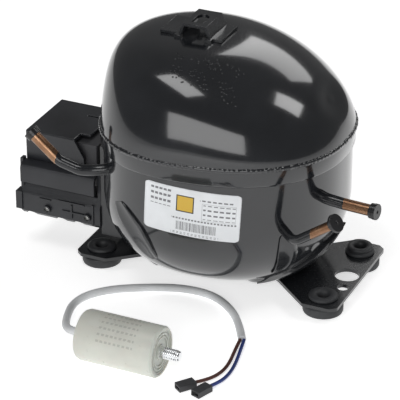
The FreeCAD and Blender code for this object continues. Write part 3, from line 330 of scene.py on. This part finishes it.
def finishes(context):
    """Every material slot's finish, made once."""
    colours = context.scene.compressor_colours
    rubber = tuple(colours.rubber)
    moulding = tuple(colours.moulding)
    if "gloss_enamel" not in bpy.data.materials:
        made = {
            "shell_paint": enamel_finish(colours),
            "foot_paint": coated("satin_enamel", (0.012, 0.013, 0.015), 0.24, peel=0.1,
                                 grain=380.0, coat=0.4).material,
            "foot_rubber": coated("foot_rubber", rubber, 0.55, peel=0.35, grain=900.0,
                                  wear=1.2).material,
            "label_film": label_finish(colours),
            "stub_copper": copper_finish(colours),
            "cap_rubber": coated("cap_rubber", (0.010, 0.010, 0.011), 0.28, peel=0.15,
                                 grain=700.0).material,
            "black_moulding": coated("fine_moulding", moulding, 0.33, peel=0.3, grain=1300.0,
                                     wear=0.5).material,
            "relay_moulding": coated("relay_moulding", (0.03, 0.03, 0.033), 0.5, peel=0.3,
                                     grain=1100.0).material,
            "terminal_steel": coated("plated_steel", (0.52, 0.52, 0.50), 0.3, 1.0, 0.1).material,
            "seal_glass": coated("seal_glass", (0.10, 0.22, 0.17), 0.12, coat=0.5).material,
            "cast_block": coated("cast_iron", (0.20, 0.20, 0.20), 0.6, 0.8, 0.5, 600.0).material,
            "laminations": coated("laminations", (0.28, 0.28, 0.29), 0.45, 0.9, 0.3).material,
            "magnet_wire": coated("magnet_wire", (0.50, 0.20, 0.08), 0.3, 0.7, 0.5, 1500.0,
                                  coat=0.5).material,
            "machined_steel": coated("ground_steel", (0.55, 0.55, 0.56), 0.25, 1.0, 0.1).material,
            "gasket_fibre": coated("gasket_fibre", (0.27, 0.30, 0.25), 0.8, peel=0.4).material,
            "head_alloy": coated("cast_alloy", (0.62, 0.62, 0.63), 0.45, 1.0, 0.4, 700.0).material,
            "muffler_plastic": coated("natural_plastic", (0.66, 0.62, 0.50), 0.45).material,
            "spring_steel": coated("spring_steel", (0.34, 0.34, 0.35), 0.3, 1.0).material,
            "lead_cover": coated("lead_sleeve", (0.55, 0.52, 0.42), 0.8, peel=0.6,
                                 grain=1500.0).material,
            "can_plastic": can_finish(colours),
            "stud_zinc": coated("bright_alloy", (0.72, 0.73, 0.75), 0.24, 1.0, 0.15,
                                900.0).material,
            "sheath_pvc": coated("sheath_pvc", tuple(colours.sheath), 0.45, peel=0.15,
                                 grain=500.0).material,
            "brown_pvc": coated("brown_pvc", (0.07, 0.020, 0.012), 0.4).material,
            "blue_pvc": coated("blue_pvc", (0.012, 0.030, 0.16), 0.4).material,
        }
        for slot_name, material in made.items():
            material["slot_name"] = slot_name
    return {material["slot_name"]: material for material in bpy.data.materials
            if "slot_name" in material}


# ---------------------------------------------------------------- mesh helpers
def piece_from(name, mesh, body, slot, context, nodes=()):
    """A finished piece at the origin that rides on a body and stands for its nodes."""
    piece = bpy.data.objects.new(name, mesh)
    context.scene.collection.objects.link(piece)
    mesh.materials.clear()
    mesh.materials.append(finishes(context)[slot])
    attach(piece, body)
    if nodes:
        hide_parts(*nodes)
    return piece


def mark_edges(mesh, angle):
    """Smooth faces, with creases kept sharp."""
    form = bmesh.new()
    form.from_mesh(mesh)
    for face in form.faces:
        face.smooth = True
    for edge in form.edges:
        edge.smooth = len(edge.link_faces) == 2 and edge.calc_face_angle(0.0) < angle
    form.to_mesh(mesh)
    form.free()


def finished_copy(node, context, edge=None, angle=35):
    """A merged copy of a node's mesh with softened edges, in place of the node."""
    mesh = frame["nodes"][node].data.copy()
    form = bmesh.new()
    form.from_mesh(mesh)
    bmesh.ops.remove_doubles(form, verts=form.verts, dist=2e-6)
    if edge:
        bmesh.ops.dissolve_limit(form, angle_limit=math.radians(0.6), verts=form.verts,
                                 edges=form.edges)
    form.to_mesh(mesh)
    form.free()
    mark_edges(mesh, math.radians(angle))
    piece = piece_from("fine_" + node, mesh, BODY_OF[node], SLOT_OF[node], context, [node])
    if edge:
        bevel = piece.modifiers.new("soft_edges", "BEVEL")
        bevel.width = edge
        bevel.segments = 2
        bevel.limit_method = "ANGLE"
        bevel.angle_limit = math.radians(40)
        bevel.use_clamp_overlap = True
        bevel.harden_normals = False
    return piece


def skin(name, rings, close_start, close_end):
    """Mesh through closed rings of points; ends can be capped."""
    form = bmesh.new()
    rows = [[form.verts.new(point) for point in ring] for ring in rings]
    count = len(rows[0])
    for lower, upper in zip(rows, rows[1:]):
        for index in range(count):
            after = (index + 1) % count
            form.faces.new((lower[index], lower[after], upper[after], upper[index]))
    if close_start:
        form.faces.new(rows[0][::-1])
    if close_end:
        form.faces.new(rows[-1])
    bmesh.ops.recalc_face_normals(form, faces=form.faces)
    mesh = bpy.data.meshes.new(name)
    form.to_mesh(mesh)
    form.free()
    return mesh


def lathe(name, outline, centre, steps=72):
    """Closed ring of an outline turned about a vertical axis."""
    rings = []
    for radius, level in outline:
        rings.append([(centre[0] + radius * MM * math.cos(2 * math.pi * k / steps),
                       centre[1] + radius * MM * math.sin(2 * math.pi * k / steps), level * MM)
                      for k in range(steps)])
    rings.append(rings[0])
    mesh = skin(name, rings, False, False)
    form = bmesh.new()
    form.from_mesh(mesh)
    bmesh.ops.remove_doubles(form, verts=form.verts, dist=1e-6)
    bmesh.ops.recalc_face_normals(form, faces=form.faces)
    form.to_mesh(mesh)
    form.free()
    return mesh


# ---------------------------------------------------------------- the shell's form
PLAN_POWER = 2.3
EGG = 0.1
SHIFT = -0.8
BELLY_LEVEL = 6.0
BELLY_ROUND = 60.0
BAND_STEP = 1.8
BAND_HEIGHT = 12.0
POSTS = ((-46, -32), (-46, 32), (34, -32), (34, 32))
LOBE_RADIUS = 15.0
LOBE_LEVEL = 10.0
BEAD_INSET = 0.7
BEAD_STEPS = 1360
DOT_SEED = 7
SHELL_STEPS = 160
WING_SHARES = (0, 0.03, 0.1, 0.2, 0.35, 0.5, 0.65, 0.8, 0.9, 0.97, 1)
WING_LIFTS = (0.2, 1.4, 1.9, 1.5, 1.0, 0.9, 1.0, 1.5, 1.9, 1.4, 0.2)


class Form:
    """The shell's outer surface in millimetres, offset outwards by a margin."""

    def __init__(self, sizes, margin=0.0):
        self.margin = margin
        self.half_x = sizes.half_x / MM + margin
        self.half_y = sizes.half_y / MM + margin
        self.rise = sizes.rise / MM + margin
        self.seam = sizes.seam / MM

    def ring(self, level, half_x, half_y, shift=0.0, power=PLAN_POWER, egg=EGG):
        spots = []
        for step in range(SHELL_STEPS):
            turn = math.pi / 2 + 2 * math.pi * step / SHELL_STEPS
            cosine, sine = math.cos(turn), math.sin(turn)
            spread = (abs(cosine) / half_x) ** power + (abs(sine) / half_y) ** power
            reach = spread ** (-1 / power)
            x = reach * cosine
            y = reach * sine * (1 - egg * x / half_x)
            spots.append(Vector((SHIFT + shift + x, y, level)))
        return spots

    def dome(self, rows):
        rings = []
        for row in range(rows + 1):
            share = 0.999 * math.sin(row / rows * math.pi / 2)
            width = (1 - share ** 1.6) ** (1 / 3.8)
            height = share * self.rise
            lean = -0.095 * height - 20.0 * share ** 2
            power = PLAN_POWER - (PLAN_POWER - 2) * share
            rings.append(self.ring(self.seam + height, self.half_x * width, self.half_y * width,
                                   lean, power, EGG * (1 - share)))
        return rings

    def belly(self, rows):
        rings = []
        for row in range(rows + 1):
            share = 1 - math.cos(row / rows * math.pi / 2)
            inset = BELLY_ROUND * (1 - math.sqrt(1 - (1 - share) ** 2)) + BAND_STEP
            level = BELLY_LEVEL - self.margin + share * (BELLY_ROUND + self.margin)
            rings.append(self.ring(level, self.half_x - inset, self.half_y - inset))
        return rings

    def side(self, x, level):
        """The near side's Y at one X and level, on the straight and rounded wall."""
        share = (level - BELLY_LEVEL + self.margin) / (BELLY_ROUND + self.margin)
        share = min(1.0, max(0.0, share))
        inset = BELLY_ROUND * (1 - math.sqrt(1 - (1 - share) ** 2)) + BAND_STEP
        half_x, half_y = self.half_x - inset, self.half_y - inset
        along = x - SHIFT
        reach = half_y * (1 - (abs(along) / half_x) ** PLAN_POWER) ** (1 / PLAN_POWER)
        return -reach * (1 - EGG * along / half_x)


DIMPLE_FROM_X = 40
DIMPLE_MIDDLE = (8, 141)
DIMPLE_HALF = (27, 13)
DIMPLE_INWARDS = Vector((0.87, 0, 0.5))
DIMPLE_DEPTH = 3.2


def dimple(point):
    """Shallow oval pressing in the dome's right end."""
    across = (point.y - DIMPLE_MIDDLE[0]) / DIMPLE_HALF[0]
    up = (point.z - DIMPLE_MIDDLE[1]) / DIMPLE_HALF[1]
    away = across ** 2 + up ** 2
    if point.x > DIMPLE_FROM_X and away < 1:
        return point - DIMPLE_INWARDS * DIMPLE_DEPTH * (1 - away) ** 2
    return point


def lobed(point):
    """The shell's bottom pushed out where the spring posts stand."""
    for x, y in POSTS:
        centre = Vector((x, y, LOBE_LEVEL + LOBE_RADIUS))
        step = point - centre
        if point.z < centre.z and step.length < LOBE_RADIUS and step.length > 1:
            point = centre + step.normalized() * LOBE_RADIUS
    return point


def metres(rings):
    return [[point * MM for point in ring] for ring in rings]


# ---------------------------------------------------------------- geometry nodes
class Growth:
    """A geometry node tree with named inputs."""

    def __init__(self, name, inputs):
        self.tree = bpy.data.node_groups.new(name, "GeometryNodeTree")
        face = self.tree.interface
        face.new_socket("Geometry", in_out="INPUT", socket_type="NodeSocketGeometry")
        face.new_socket("Geometry", in_out="OUTPUT", socket_type="NodeSocketGeometry")
        self.keys = {label: face.new_socket(label, in_out="INPUT", socket_type=kind).identifier
                     for label, kind in inputs}
        self.start = self.tree.nodes.new("NodeGroupInput")
        self.end = self.tree.nodes.new("NodeGroupOutput")

    def add(self, kind, inputs=None, **settings):
        node = self.tree.nodes.new(kind)
        for key, value in settings.items():
            setattr(node, key, value)
        for key, value in (inputs or {}).items():
            if isinstance(value, bpy.types.NodeSocket):
                self.tree.links.new(value, node.inputs[key])
            else:
                node.inputs[key].default_value = value
        return node

    def finish(self, geometry, material):
        whole = self.add("GeometryNodeRealizeInstances", {0: geometry})
        painted = self.add("GeometryNodeSetMaterial", {0: whole.outputs[0], "Material": material})
        self.tree.links.new(painted.outputs[0], self.end.inputs[0])


def grown(growth, source, values, name, context):
    """The tree's result on a source mesh, as a plain mesh."""
    holder = bpy.data.objects.new("holder", source)
    context.scene.collection.objects.link(holder)
    modifier = holder.modifiers.new("growth", "NODES")
    modifier.node_group = growth.tree
    for label, value in values.items():
        modifier[growth.keys[label]] = value
    context.view_layer.update()
    result = bpy.data.meshes.new_from_object(
        holder.evaluated_get(context.evaluated_depsgraph_get()))
    result.name = name
    bpy.data.objects.remove(holder)
    return result


# ---------------------------------------------------------------- operators
SHEATH_ROUTE = [
    (-38.3, -157, 17.5), (-46.1, -155.4, 16.5), (-52.8, -150.7, 14.1), (-58.3, -142.9, 11.1),
    (-64.3, -131, 6.8), (-70, -117.5, 3.4), (-73.5, -103.5, 2.9), (-70, -88.5, 2.9),
    (-58, -74.5, 2.9), (-37, -62, 2.9), (-12.5, -51.8, 2.9), (11.5, -52.8, 2.9),
    (30.5, -66, 2.9), (44, -84, 2.9), (51.6, -98, 2.9)]
BROWN_ROUTE = [
    (50.6, -98.9, 2.6), (52.4, -112, 1.7), (55.4, -128, 1.4), (55, -141, 1.4),
    (50.5, -151.5, 1.4), (44.8, -159.8, 2.4)]
BLUE_ROUTE = [
    (53.1, -97.9, 2.6), (56.2, -112, 1.7), (59.6, -128, 1.4), (60.6, -141, 1.4),
    (58.8, -151.5, 1.4), (55.4, -160.4, 2.4)]


CAMERA_AZIMUTH = 24.5
CAMERA_ELEVATION = 28
CAMERA_AIM = Vector((0.0033, -0.0601, 0.080))
CAMERA_AWAY = 1.6
CAMERA_LENS = 212.3


class BuildCamera(bpy.types.Operator):
    """Places the camera."""

    bl_idname = "compressor.camera"
    bl_label = "Camera"
    bl_options = {"REGISTER", "UNDO"}

    def execute(self, context):
        azimuth, elevation = math.radians(CAMERA_AZIMUTH), math.radians(CAMERA_ELEVATION)
        back = Vector((math.sin(azimuth) * math.cos(elevation),
                       -math.cos(azimuth) * math.cos(elevation), math.sin(elevation)))
        data = bpy.data.cameras.new("camera")
        data.sensor_width = 36
        data.lens = CAMERA_LENS
        data.clip_end = 20
        camera = bpy.data.objects.new("camera", data)
        camera.location = CAMERA_AIM + back * CAMERA_AWAY
        camera.rotation_mode = "QUATERNION"
        camera.rotation_quaternion = (-back).to_track_quat("-Z", "Y")
        context.scene.collection.objects.link(camera)
        context.scene.camera = camera
        return {"FINISHED"}


class BuildCords(bpy.types.Operator):
    """Lays the capacitor's sheath and its two wires, with their receptacles."""

    bl_idname = "compressor.cords"
    bl_label = "Lead and wires"
    bl_options = {"REGISTER", "UNDO"}

    def execute(self, context):
        sizes = context.scene.compressor_sizes
        ends = {colour: finished_copy(colour + "_receptacle", context, sizes.edge)
                for colour in ("brown", "blue")}
        for name, route, radius, length, far_end, held in (
                ("sheath_cord", SHEATH_ROUTE, 2.8, 0.238, "bare", []),
                ("brown_wire", BROWN_ROUTE, 1.2, 0.0643, "connector", [ends["brown"]]),
                ("blue_wire", BLUE_ROUTE, 1.2, 0.0643, "connector", [ends["blue"]])):
            curve = bpy.data.curves.new(name + "_line", "CURVE")
            curve.dimensions = "3D"
            curve.bevel_depth = radius * MM
            curve.bevel_resolution = 6
            curve.use_fill_caps = True
            spline = curve.splines.new("NURBS")
            spline.points.add(len(route) - 1)
            for point, place in zip(spline.points, route):
                point.co = (*(Vector(place) * MM), 1)
            spline.order_u = 3
            spline.use_endpoint_u = True
            spline.resolution_u = 10
            piece = bpy.data.objects.new("fine_" + name, curve)
            context.scene.collection.objects.link(piece)
            curve.materials.append(finishes(context)[SLOT_OF[name]])
            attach(piece, BODY_OF[name])
            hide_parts(name)
            2 * radius * MM
        return {"FINISHED"}


class BuildShell(bpy.types.Operator):
    """Builds the pressed dome and the rounded belly from the shell's rule."""

    bl_idname = "compressor.shell"
    bl_label = "Shell"
    bl_options = {"REGISTER", "UNDO"}

    def execute(self, context):
        sizes = context.scene.compressor_sizes
        outer = Form(sizes)
        inner = Form(sizes, -sizes.wall / MM)
        rows = [[dimple(point) for point in ring] for ring in outer.dome(56)]
        rings = metres(rows)
        hollow = metres(inner.dome(24))
        mesh = self.walled("upper_skin", rings, hollow)
        piece_from("fine_upper_shell", mesh, BODY_OF["upper_shell"], "shell_paint", context,
                   ["upper_shell"])

        def wall(form, rows):
            low = form.belly(rows)
            foot = form.seam - BAND_HEIGHT
            waist = (form.half_x - BAND_STEP, form.half_y - BAND_STEP)
            low.append(form.ring(foot - 1.2, *waist))
            low.append(form.ring(foot, form.half_x - 0.4, form.half_y - 0.4))
            low.append(form.ring(foot + 0.8, form.half_x, form.half_y))
            low.append(form.ring(form.seam, form.half_x, form.half_y))
            return low

        outside = [[lobed(point) for point in ring] for ring in self.floor(wall(outer, 56))]
        inside = self.floor(wall(inner, 24))
        mesh = self.walled("lower_skin", metres(outside), metres(inside))
        piece_from("fine_lower_shell", mesh, BODY_OF["lower_shell"], "shell_paint", context,
                   ["lower_shell"])
        return {"FINISHED"}

    def floor(self, rings):
        """Rings that close the flat bottom, ahead of the belly's own."""
        first = rings[0]
        middle = Vector((SHIFT, 0, first[0].z))
        return [[middle.lerp(point, share) for point in first]
                for share in (0.02, 0.2, 0.4, 0.6, 0.8, 0.93)] + rings

    def walled(self, name, outside, inside):
        """Closed wall between an outer and an inner skin, joined along their open rims."""
        upper = name.startswith("upper")
        start, end = (inside[::-1], outside) if upper else (outside, inside[::-1])
        mesh = skin(name, start + end, True, True)
        mark_edges(mesh, math.radians(40))
        return mesh


class BuildWeld(bpy.types.Operator):
    """Runs the rippled weld bead round the seam and peens the dots on the crown."""

    bl_idname = "compressor.weld"
    bl_label = "Weld bead and mark dots"
    bl_options = {"REGISTER", "UNDO"}

    def execute(self, context):
        sizes = context.scene.compressor_sizes
        form = Form(sizes)
        ring = [point * MM for point in form.ring(form.seam, form.half_x - BEAD_INSET,
                                                  form.half_y - BEAD_INSET)]
        line = bpy.data.meshes.new("bead_line")
        count = len(ring)
        line.from_pydata(ring, [(k, (k + 1) % count) for k in range(count)], [])
        growth = Growth("weld_growth", [
            ("Radius", "NodeSocketFloat"), ("Ripples", "NodeSocketInt")])
        curve = growth.add("GeometryNodeMeshToCurve", {0: growth.start.outputs[0]})
        fine = growth.add("GeometryNodeResampleCurve", {
            "Curve": curve.outputs[0], "Count": BEAD_STEPS})
        place = growth.add("GeometryNodeSplineParameter")
        turns = growth.add("ShaderNodeMath", {
            0: growth.start.outputs["Ripples"], 1: 2 * math.pi}, operation="MULTIPLY")
        phase = growth.add("ShaderNodeMath", {
            0: place.outputs["Factor"], 1: turns.outputs[0]}, operation="MULTIPLY")
        wave = growth.add("ShaderNodeMath", {0: phase.outputs[0]}, operation="SINE")
        rough = growth.add("ShaderNodeTexNoise", {"Scale": 320.0, "Detail": 3.0})
        swell = growth.add("ShaderNodeMath", {
            0: wave.outputs[0], 1: 0.05, 2: 0.55}, operation="MULTIPLY_ADD")
        full = growth.add("ShaderNodeMath", {
            0: rough.outputs[0], 1: 0.72, 2: swell.outputs[0]}, operation="MULTIPLY_ADD")
        total = growth.add("ShaderNodeMath", {0: full.outputs[0], 1: 1.05}, operation="MINIMUM")
        circle = growth.add("GeometryNodeCurvePrimitiveCircle", {
            "Radius": growth.start.outputs["Radius"], "Resolution": 10})
        tube = growth.add("GeometryNodeCurveToMesh", {
            "Curve": fine.outputs[0], "Profile Curve": circle.outputs[0],
            "Scale": total.outputs[0]})
        growth.finish(tube.outputs[0], finishes(context)["shell_paint"])
        mesh = grown(growth, line, {"Radius": sizes.bead, "Ripples": sizes.ripples},
                     "weld_mesh", context)
        self.tidy(mesh)
        piece_from("fine_seam_weld", mesh, BODY_OF["seam_weld"], "shell_paint", context,
                   ["seam_weld"])
        self.peen(context, sizes, form)
        return {"FINISHED"}

    def tidy(self, mesh):
        shape = bmesh.new()
        shape.from_mesh(mesh)
        bmesh.ops.remove_doubles(shape, verts=shape.verts, dist=1e-6)
        bmesh.ops.recalc_face_normals(shape, faces=shape.faces)
        for face in shape.faces:
            face.smooth = True
        shape.to_mesh(mesh)
        shape.free()

    def peen(self, context, sizes, form):
        """Rows of dots in a generic grid, with no lettering."""
        shape = bmesh.new()
        rings = form.dome(56)
        marks = [[shape.verts.new(point * MM) for point in ring] for ring in rings]
        for low, high in zip(marks, marks[1:]):
            for step in range(SHELL_STEPS):
                after = (step + 1) % SHELL_STEPS
                face = (low[step], low[after], high[after], high[step])
                middle = sum((vert.co for vert in face), Vector()) / 4 / MM
                along, down = middle.x + middle.y * 0.25, middle.y
                rows_of_dots = -58 < down < -47 or -42 < down < -32
                if rows_of_dots and -34 < along < 14 and middle.z > 150 and step % 7 > 1:
                    shape.faces.new(face)
        loose = [vert for vert in shape.verts if not vert.link_faces]
        bmesh.ops.delete(shape, geom=loose, context="VERTS")
        patch = bpy.data.meshes.new("peen_patch")
        shape.to_mesh(patch)
        shape.free()
        growth = Growth("peen_growth", [
            ("Radius", "NodeSocketFloat"), ("Density", "NodeSocketFloat")])
        spots = growth.add("GeometryNodeDistributePointsOnFaces", {
            "Mesh": growth.start.outputs[0], "Density": growth.start.outputs["Density"],
            "Seed": DOT_SEED})
        ball = growth.add("GeometryNodeMeshIcoSphere", {
            "Radius": growth.start.outputs["Radius"], "Subdivisions": 1})
        copies = growth.add("GeometryNodeInstanceOnPoints", {
            "Points": spots.outputs[0], "Instance": ball.outputs[0]})
        growth.finish(copies.outputs[0], finishes(context)["shell_paint"])
        mesh = grown(growth, patch, {"Radius": sizes.dot, "Density": sizes.dot_density},
                     "peen_mesh", context)
        piece_from("crown_dots", mesh, BODY_OF["upper_shell"], "shell_paint", context)


class BuildLabel(bpy.types.Operator):
    """Lays the label film on the belly, following its curve."""

    bl_idname = "compressor.label"
    bl_label = "Label"
    bl_options = {"REGISTER", "UNDO"}

    def execute(self, context):
        sizes = context.scene.compressor_sizes
        form = Form(sizes, 0.2)
        columns, rows, corner = 60, 36, 2.6
        half_width, half_height = 33.4, 17.9
        tilt = LABEL_TILT
        shape = bmesh.new()
        grid = []
        for row in range(rows + 1):
            up = half_height * (2 * row / rows - 1)
            deep = max(0.0, corner - (half_height - abs(up)))
            half = half_width - corner + math.sqrt(max(0.0, corner ** 2 - deep ** 2))
            line = []
            for column in range(columns + 1):
                across = half * (2 * column / columns - 1)
                x = 4.9 + across * math.cos(tilt) + up * math.sin(tilt)
                level = 79.9 + up * math.cos(tilt) - across * math.sin(tilt)
                line.append(shape.verts.new(Vector((x, form.side(x, level), level)) * MM))
            grid.append(line)
        for low, high in zip(grid, grid[1:]):
            for index in range(columns):
                shape.faces.new((low[index], low[index + 1], high[index + 1], high[index]))
        for face in shape.faces:
            face.smooth = True
        mesh = bpy.data.meshes.new("label_film")
        shape.to_mesh(mesh)
        shape.free()
        piece = piece_from("fine_rating_label", mesh, BODY_OF["rating_label"], "label_film",
                           context, ["rating_label"])
        film = piece.modifiers.new("film", "SOLIDIFY")
        film.thickness = 0.00015
        film.offset = -1
        return {"FINISHED"}


class BuildPressings(bpy.types.Operator):
    """Softens the feet, the crown strap and the terminal bracket."""

    bl_idname = "compressor.pressings"
    bl_label = "Feet and brackets"
    bl_options = {"REGISTER", "UNDO"}

    def execute(self, context):
        sizes = context.scene.compressor_sizes
        for node in ("left_foot", "right_foot", "top_bracket", "terminal_bracket"):
            finished_copy(node, context, sizes.edge)
        return {"FINISHED"}


WING_STATIONS = 6
WING_EDGES = {
    "left_saddle_wing": (
        [(-58, 70), (-53, 62), (-46, 54), (-40, 45), (-35, 36), (-30, 28)],
        [(-46, 76), (-39, 70), (-31, 62), (-26, 53), (-23, 45), (-20, 36)]),
    "right_saddle_wing": (
        [(60, 62), (60, 55), (59, 47), (57, 39), (53, 31), (47, 25)],
        [(66, 66), (68, 59), (69, 51), (68, 43), (65, 35), (60, 28)])}


class BuildSaddles(bpy.types.Operator):
    """Lays the pressed saddle wings of the feet on the belly, with their raised lips."""

    bl_idname = "compressor.saddles"
    bl_label = "Foot saddles"
    bl_options = {"REGISTER", "UNDO"}

    def execute(self, context):
        sizes = context.scene.compressor_sizes
        for name, (outer, inner) in WING_EDGES.items():
            self.wing(name, context, sizes, outer, inner)
        return {"FINISHED"}

    def wing(self, name, context, sizes, outer, inner):
        """A raised strip between two edges, given by X and level, that follows the belly."""
        rows = []
        for edge_out, edge_in in zip(self.eased(outer, WING_STATIONS),
                                     self.eased(inner, WING_STATIONS)):
            rows.append([edge_out.lerp(edge_in, share) for share in WING_SHARES])
        rings = []
        for index, row in enumerate(rows):
            swell = math.sin(math.pi * (index + 0.15) / (len(rows) - 0.7)) ** 0.4
            middle = sum(row, Vector((0, 0))) / len(row)
            row = [middle.lerp(spot, 0.45 + 0.55 * swell) for spot in row]
            upper = []
            for spot, lift in zip(row, WING_LIFTS):
                form = Form(sizes, 0.2 + (lift - 0.2) * swell)
                upper.append(Vector((spot.x, form.side(spot.x, spot.y), spot.y)) * MM)
            under = []
            for spot in reversed(row):
                form = Form(sizes, 0.05)
                under.append(Vector((spot.x, form.side(spot.x, spot.y), spot.y)) * MM)
            rings.append(upper + under)
        mesh = skin(name, rings, True, True)
        mark_edges(mesh, math.radians(50))
        piece_from(name, mesh, "shell", "foot_paint", context)

    def eased(self, points, steps):
        """Points along a smooth run through the corners, as plane vectors."""
        spots = [Vector(point) for point in points]
        spots = [spots[0] * 2 - spots[1]] + spots + [spots[-1] * 2 - spots[-2]]
        run = []
        for before, start, end, after in zip(spots, spots[1:], spots[2:], spots[3:]):
            for step in range(steps):
                t = step / steps
                run.append(((start * 2) + (end - before) * t
                            + (before * 2 - start * 5 + end * 4 - after) * t * t
                            + (start * 3 - before - end * 3 + after) * t ** 3) / 2)
        return run


class BuildRubber(bpy.types.Operator):
    """Turns the rubber feet with their rounded rings, and softens the tube caps."""

    bl_idname = "compressor.rubber"
    bl_label = "Rubber feet and caps"
    bl_options = {"REGISTER", "UNDO"}

    def execute(self, context):
        sizes = context.scene.compressor_sizes
        for side, x in (("left", -0.085), ("right", 0.085)):
            for end, y, rise in (("front", -0.035, 2.6), ("rear", 0.035, 5.6)):
                node = "grommet_%s_%s" % (side, end)
                top = 10.5 + rise
                outline = [(4, 0.4), (4.4, 0), (12.8, 0), (13.8, 0.5), (14.2, 1.5), (14.2, 5.6),
                           (13.8, 6.6), (12.6, 7.4), (10.6, 7.9), (8.4, 7.9), (8.4, 10.5),
                           (10.0, 10.5), (10.3, 10.8)]
                if rise > 4:
                    outline += [(10.4, 11.6), (10.2, 12.4), (9.3, 12.9), (8.7, 13.3),
                                (9.0, 13.9), (9.2, 14.8), (8.9, top - 0.5)]
                else:
                    outline += [(10.4, 11.6), (10.1, 12.4), (9.4, top - 0.2)]
                outline += [(8.4, top), (6.0, top), (5.2, top - 0.4), (4.4, top - 1.2),
                            (4, top - 2)]
                mesh = lathe(node + "_rubber", outline, (x, y))
                mark_edges(mesh, math.radians(60))
                piece_from("fine_" + node, mesh, BODY_OF[node], "foot_rubber", context, [node])
        for name in ("process", "suction", "discharge"):
            finished_copy(name + "_cap", context, sizes.edge)
        return {"FINISHED"}


class BuildTubes(bpy.types.Operator):
    """Smooths the three stub tubes."""

    bl_idname = "compressor.tubes"
    bl_label = "Stub tubes"
    bl_options = {"REGISTER", "UNDO"}

    def execute(self, context):
        for name in ("process", "suction", "discharge"):
            finished_copy(name + "_tube", context)
        return {"FINISHED"}


class BuildMouldings(bpy.types.Operator):
    """Softens the electrical cover, base, lid, board and their screws."""

    bl_idname = "compressor.mouldings"
    bl_label = "Electrical mouldings"
    bl_options = {"REGISTER", "UNDO"}

    def execute(self, context):
        sizes = context.scene.compressor_sizes
        for node in ("electrical_cover", "terminal_base", "terminal_lid", "terminal_board",
                     "start_relay", "overload_protector"):
            finished_copy(node, context, sizes.edge)
        finished_copy("terminal_screws", context)
        return {"FINISHED"}


class BuildCapacitor(bpy.types.Operator):
    """Smooths the capacitor's can, end and stud."""

    bl_idname = "compressor.capacitor"
    bl_label = "Capacitor"
    bl_options = {"REGISTER", "UNDO"}

    def execute(self, context):
        for node in ("capacitor_can", "capacitor_end", "capacitor_stud"):
            finished_copy(node, context)
        return {"FINISHED"}


class BuildInside(bpy.types.Operator):
    """Gives every remaining node its slot's finish."""

    bl_idname = "compressor.inside"
    bl_label = "Inner works"
    bl_options = {"REGISTER", "UNDO"}

    def execute(self, context):
        made = finishes(context)
        for node, thing in frame["nodes"].items():
            thing.data.materials.clear()
            thing.data.materials.append(made[SLOT_OF[node]])
        return {"FINISHED"}


# Name, place, aim, width, depth and power of each soft light.
LAMPS = (
    ("key", (-0.34, -0.33, 1.29), (0, 0, 0.14), 0.66, 0.36, 3.2),
    ("side", (0.70, 0.35, 0.95), (0, 0, 0.14), 0.30, 0.36, 1.8),
    ("front", (0.15, -1.6, 0.75), (0, 0, 0.06), 1.7, 0.8, 13.0),
    ("back", (0.1, 1.5, 1.2), (0, 0, 0.10), 1.2, 0.6, 6.0))


class BuildStage(bpy.types.Operator):
    """Lays the pale floor and hangs the soft lights."""

    bl_idname = "compressor.stage"
    bl_label = "Stage"
    bl_options = {"REGISTER", "UNDO"}

    def execute(self, context):
        mesh = bpy.data.meshes.new("floor")
        reach = 6.0
        mesh.from_pydata([(-reach, -reach, 0), (reach, -reach, 0), (reach, reach, 0),
                          (-reach, reach, 0)], [], [(0, 1, 2, 3)])
        floor = bpy.data.objects.new("floor", mesh)
        context.scene.collection.objects.link(floor)
        shader = Shader("pale_floor")
        shader.set("Base Color", (0.9, 0.9, 0.9))
        shader.set("Roughness", 0.9)
        shader.set("Emission Color", (1.0, 1.0, 1.0))
        shader.set("Emission Strength", 0.6)
        mesh.materials.append(shader.material)
        world = bpy.data.worlds.new("studio")
        world.use_nodes = True
        world.node_tree.nodes["Background"].inputs["Color"].default_value = (1, 1, 1, 1)
        world.node_tree.nodes["Background"].inputs["Strength"].default_value = 0.15
        context.scene.world = world
        context.scene.view_settings.view_transform = "Standard"
        for name, place, aim, width, depth, power in LAMPS:
            data = bpy.data.lights.new(name, "AREA")
            data.shape = "RECTANGLE"
            data.size = width
            data.size_y = depth
            data.energy = power
            lamp = bpy.data.objects.new(name, data)
            lamp.location = place
            lamp.rotation_mode = "QUATERNION"
            lamp.rotation_quaternion = (Vector(aim) - Vector(place)).to_track_quat("-Z", "Y")
            context.scene.collection.objects.link(lamp)
        return {"FINISHED"}


STEPS = (BuildCamera, BuildCords, BuildInside, BuildShell, BuildWeld, BuildLabel, BuildPressings,
         BuildSaddles, BuildRubber, BuildTubes, BuildMouldings, BuildCapacitor, BuildStage)


class CompressorPanel(bpy.types.Panel):
    """Lists the building steps and their sizes."""

    bl_idname = "VIEW3D_PT_compressor"
    bl_label = "Compressor"
    bl_space_type = "VIEW_3D"
    bl_region_type = "UI"
    bl_category = "Compressor"

    def draw(self, context):
        for group in (context.scene.compressor_sizes, context.scene.compressor_colours):
            for key in group.__annotations__:
                self.layout.prop(group, key)
        for step in STEPS:
            self.layout.operator(step.bl_idname)


CLASSES = (CompressorSizes, CompressorColours) + STEPS + (CompressorPanel,)


def register():
    for kind in CLASSES:
        bpy.utils.register_class(kind)
    bpy.types.Scene.compressor_sizes = PointerProperty(type=CompressorSizes)
    bpy.types.Scene.compressor_colours = PointerProperty(type=CompressorColours)


def unregister():
    del bpy.types.Scene.compressor_colours
    del bpy.types.Scene.compressor_sizes
    for kind in reversed(CLASSES):
        bpy.utils.unregister_class(kind)


def main():
    register()
    for step in STEPS:
        group, name = step.bl_idname.split(".")
        getattr(getattr(bpy.ops, group), name)()
    bpy.context.view_layer.update()


if __name__ == "__main__":
    main()
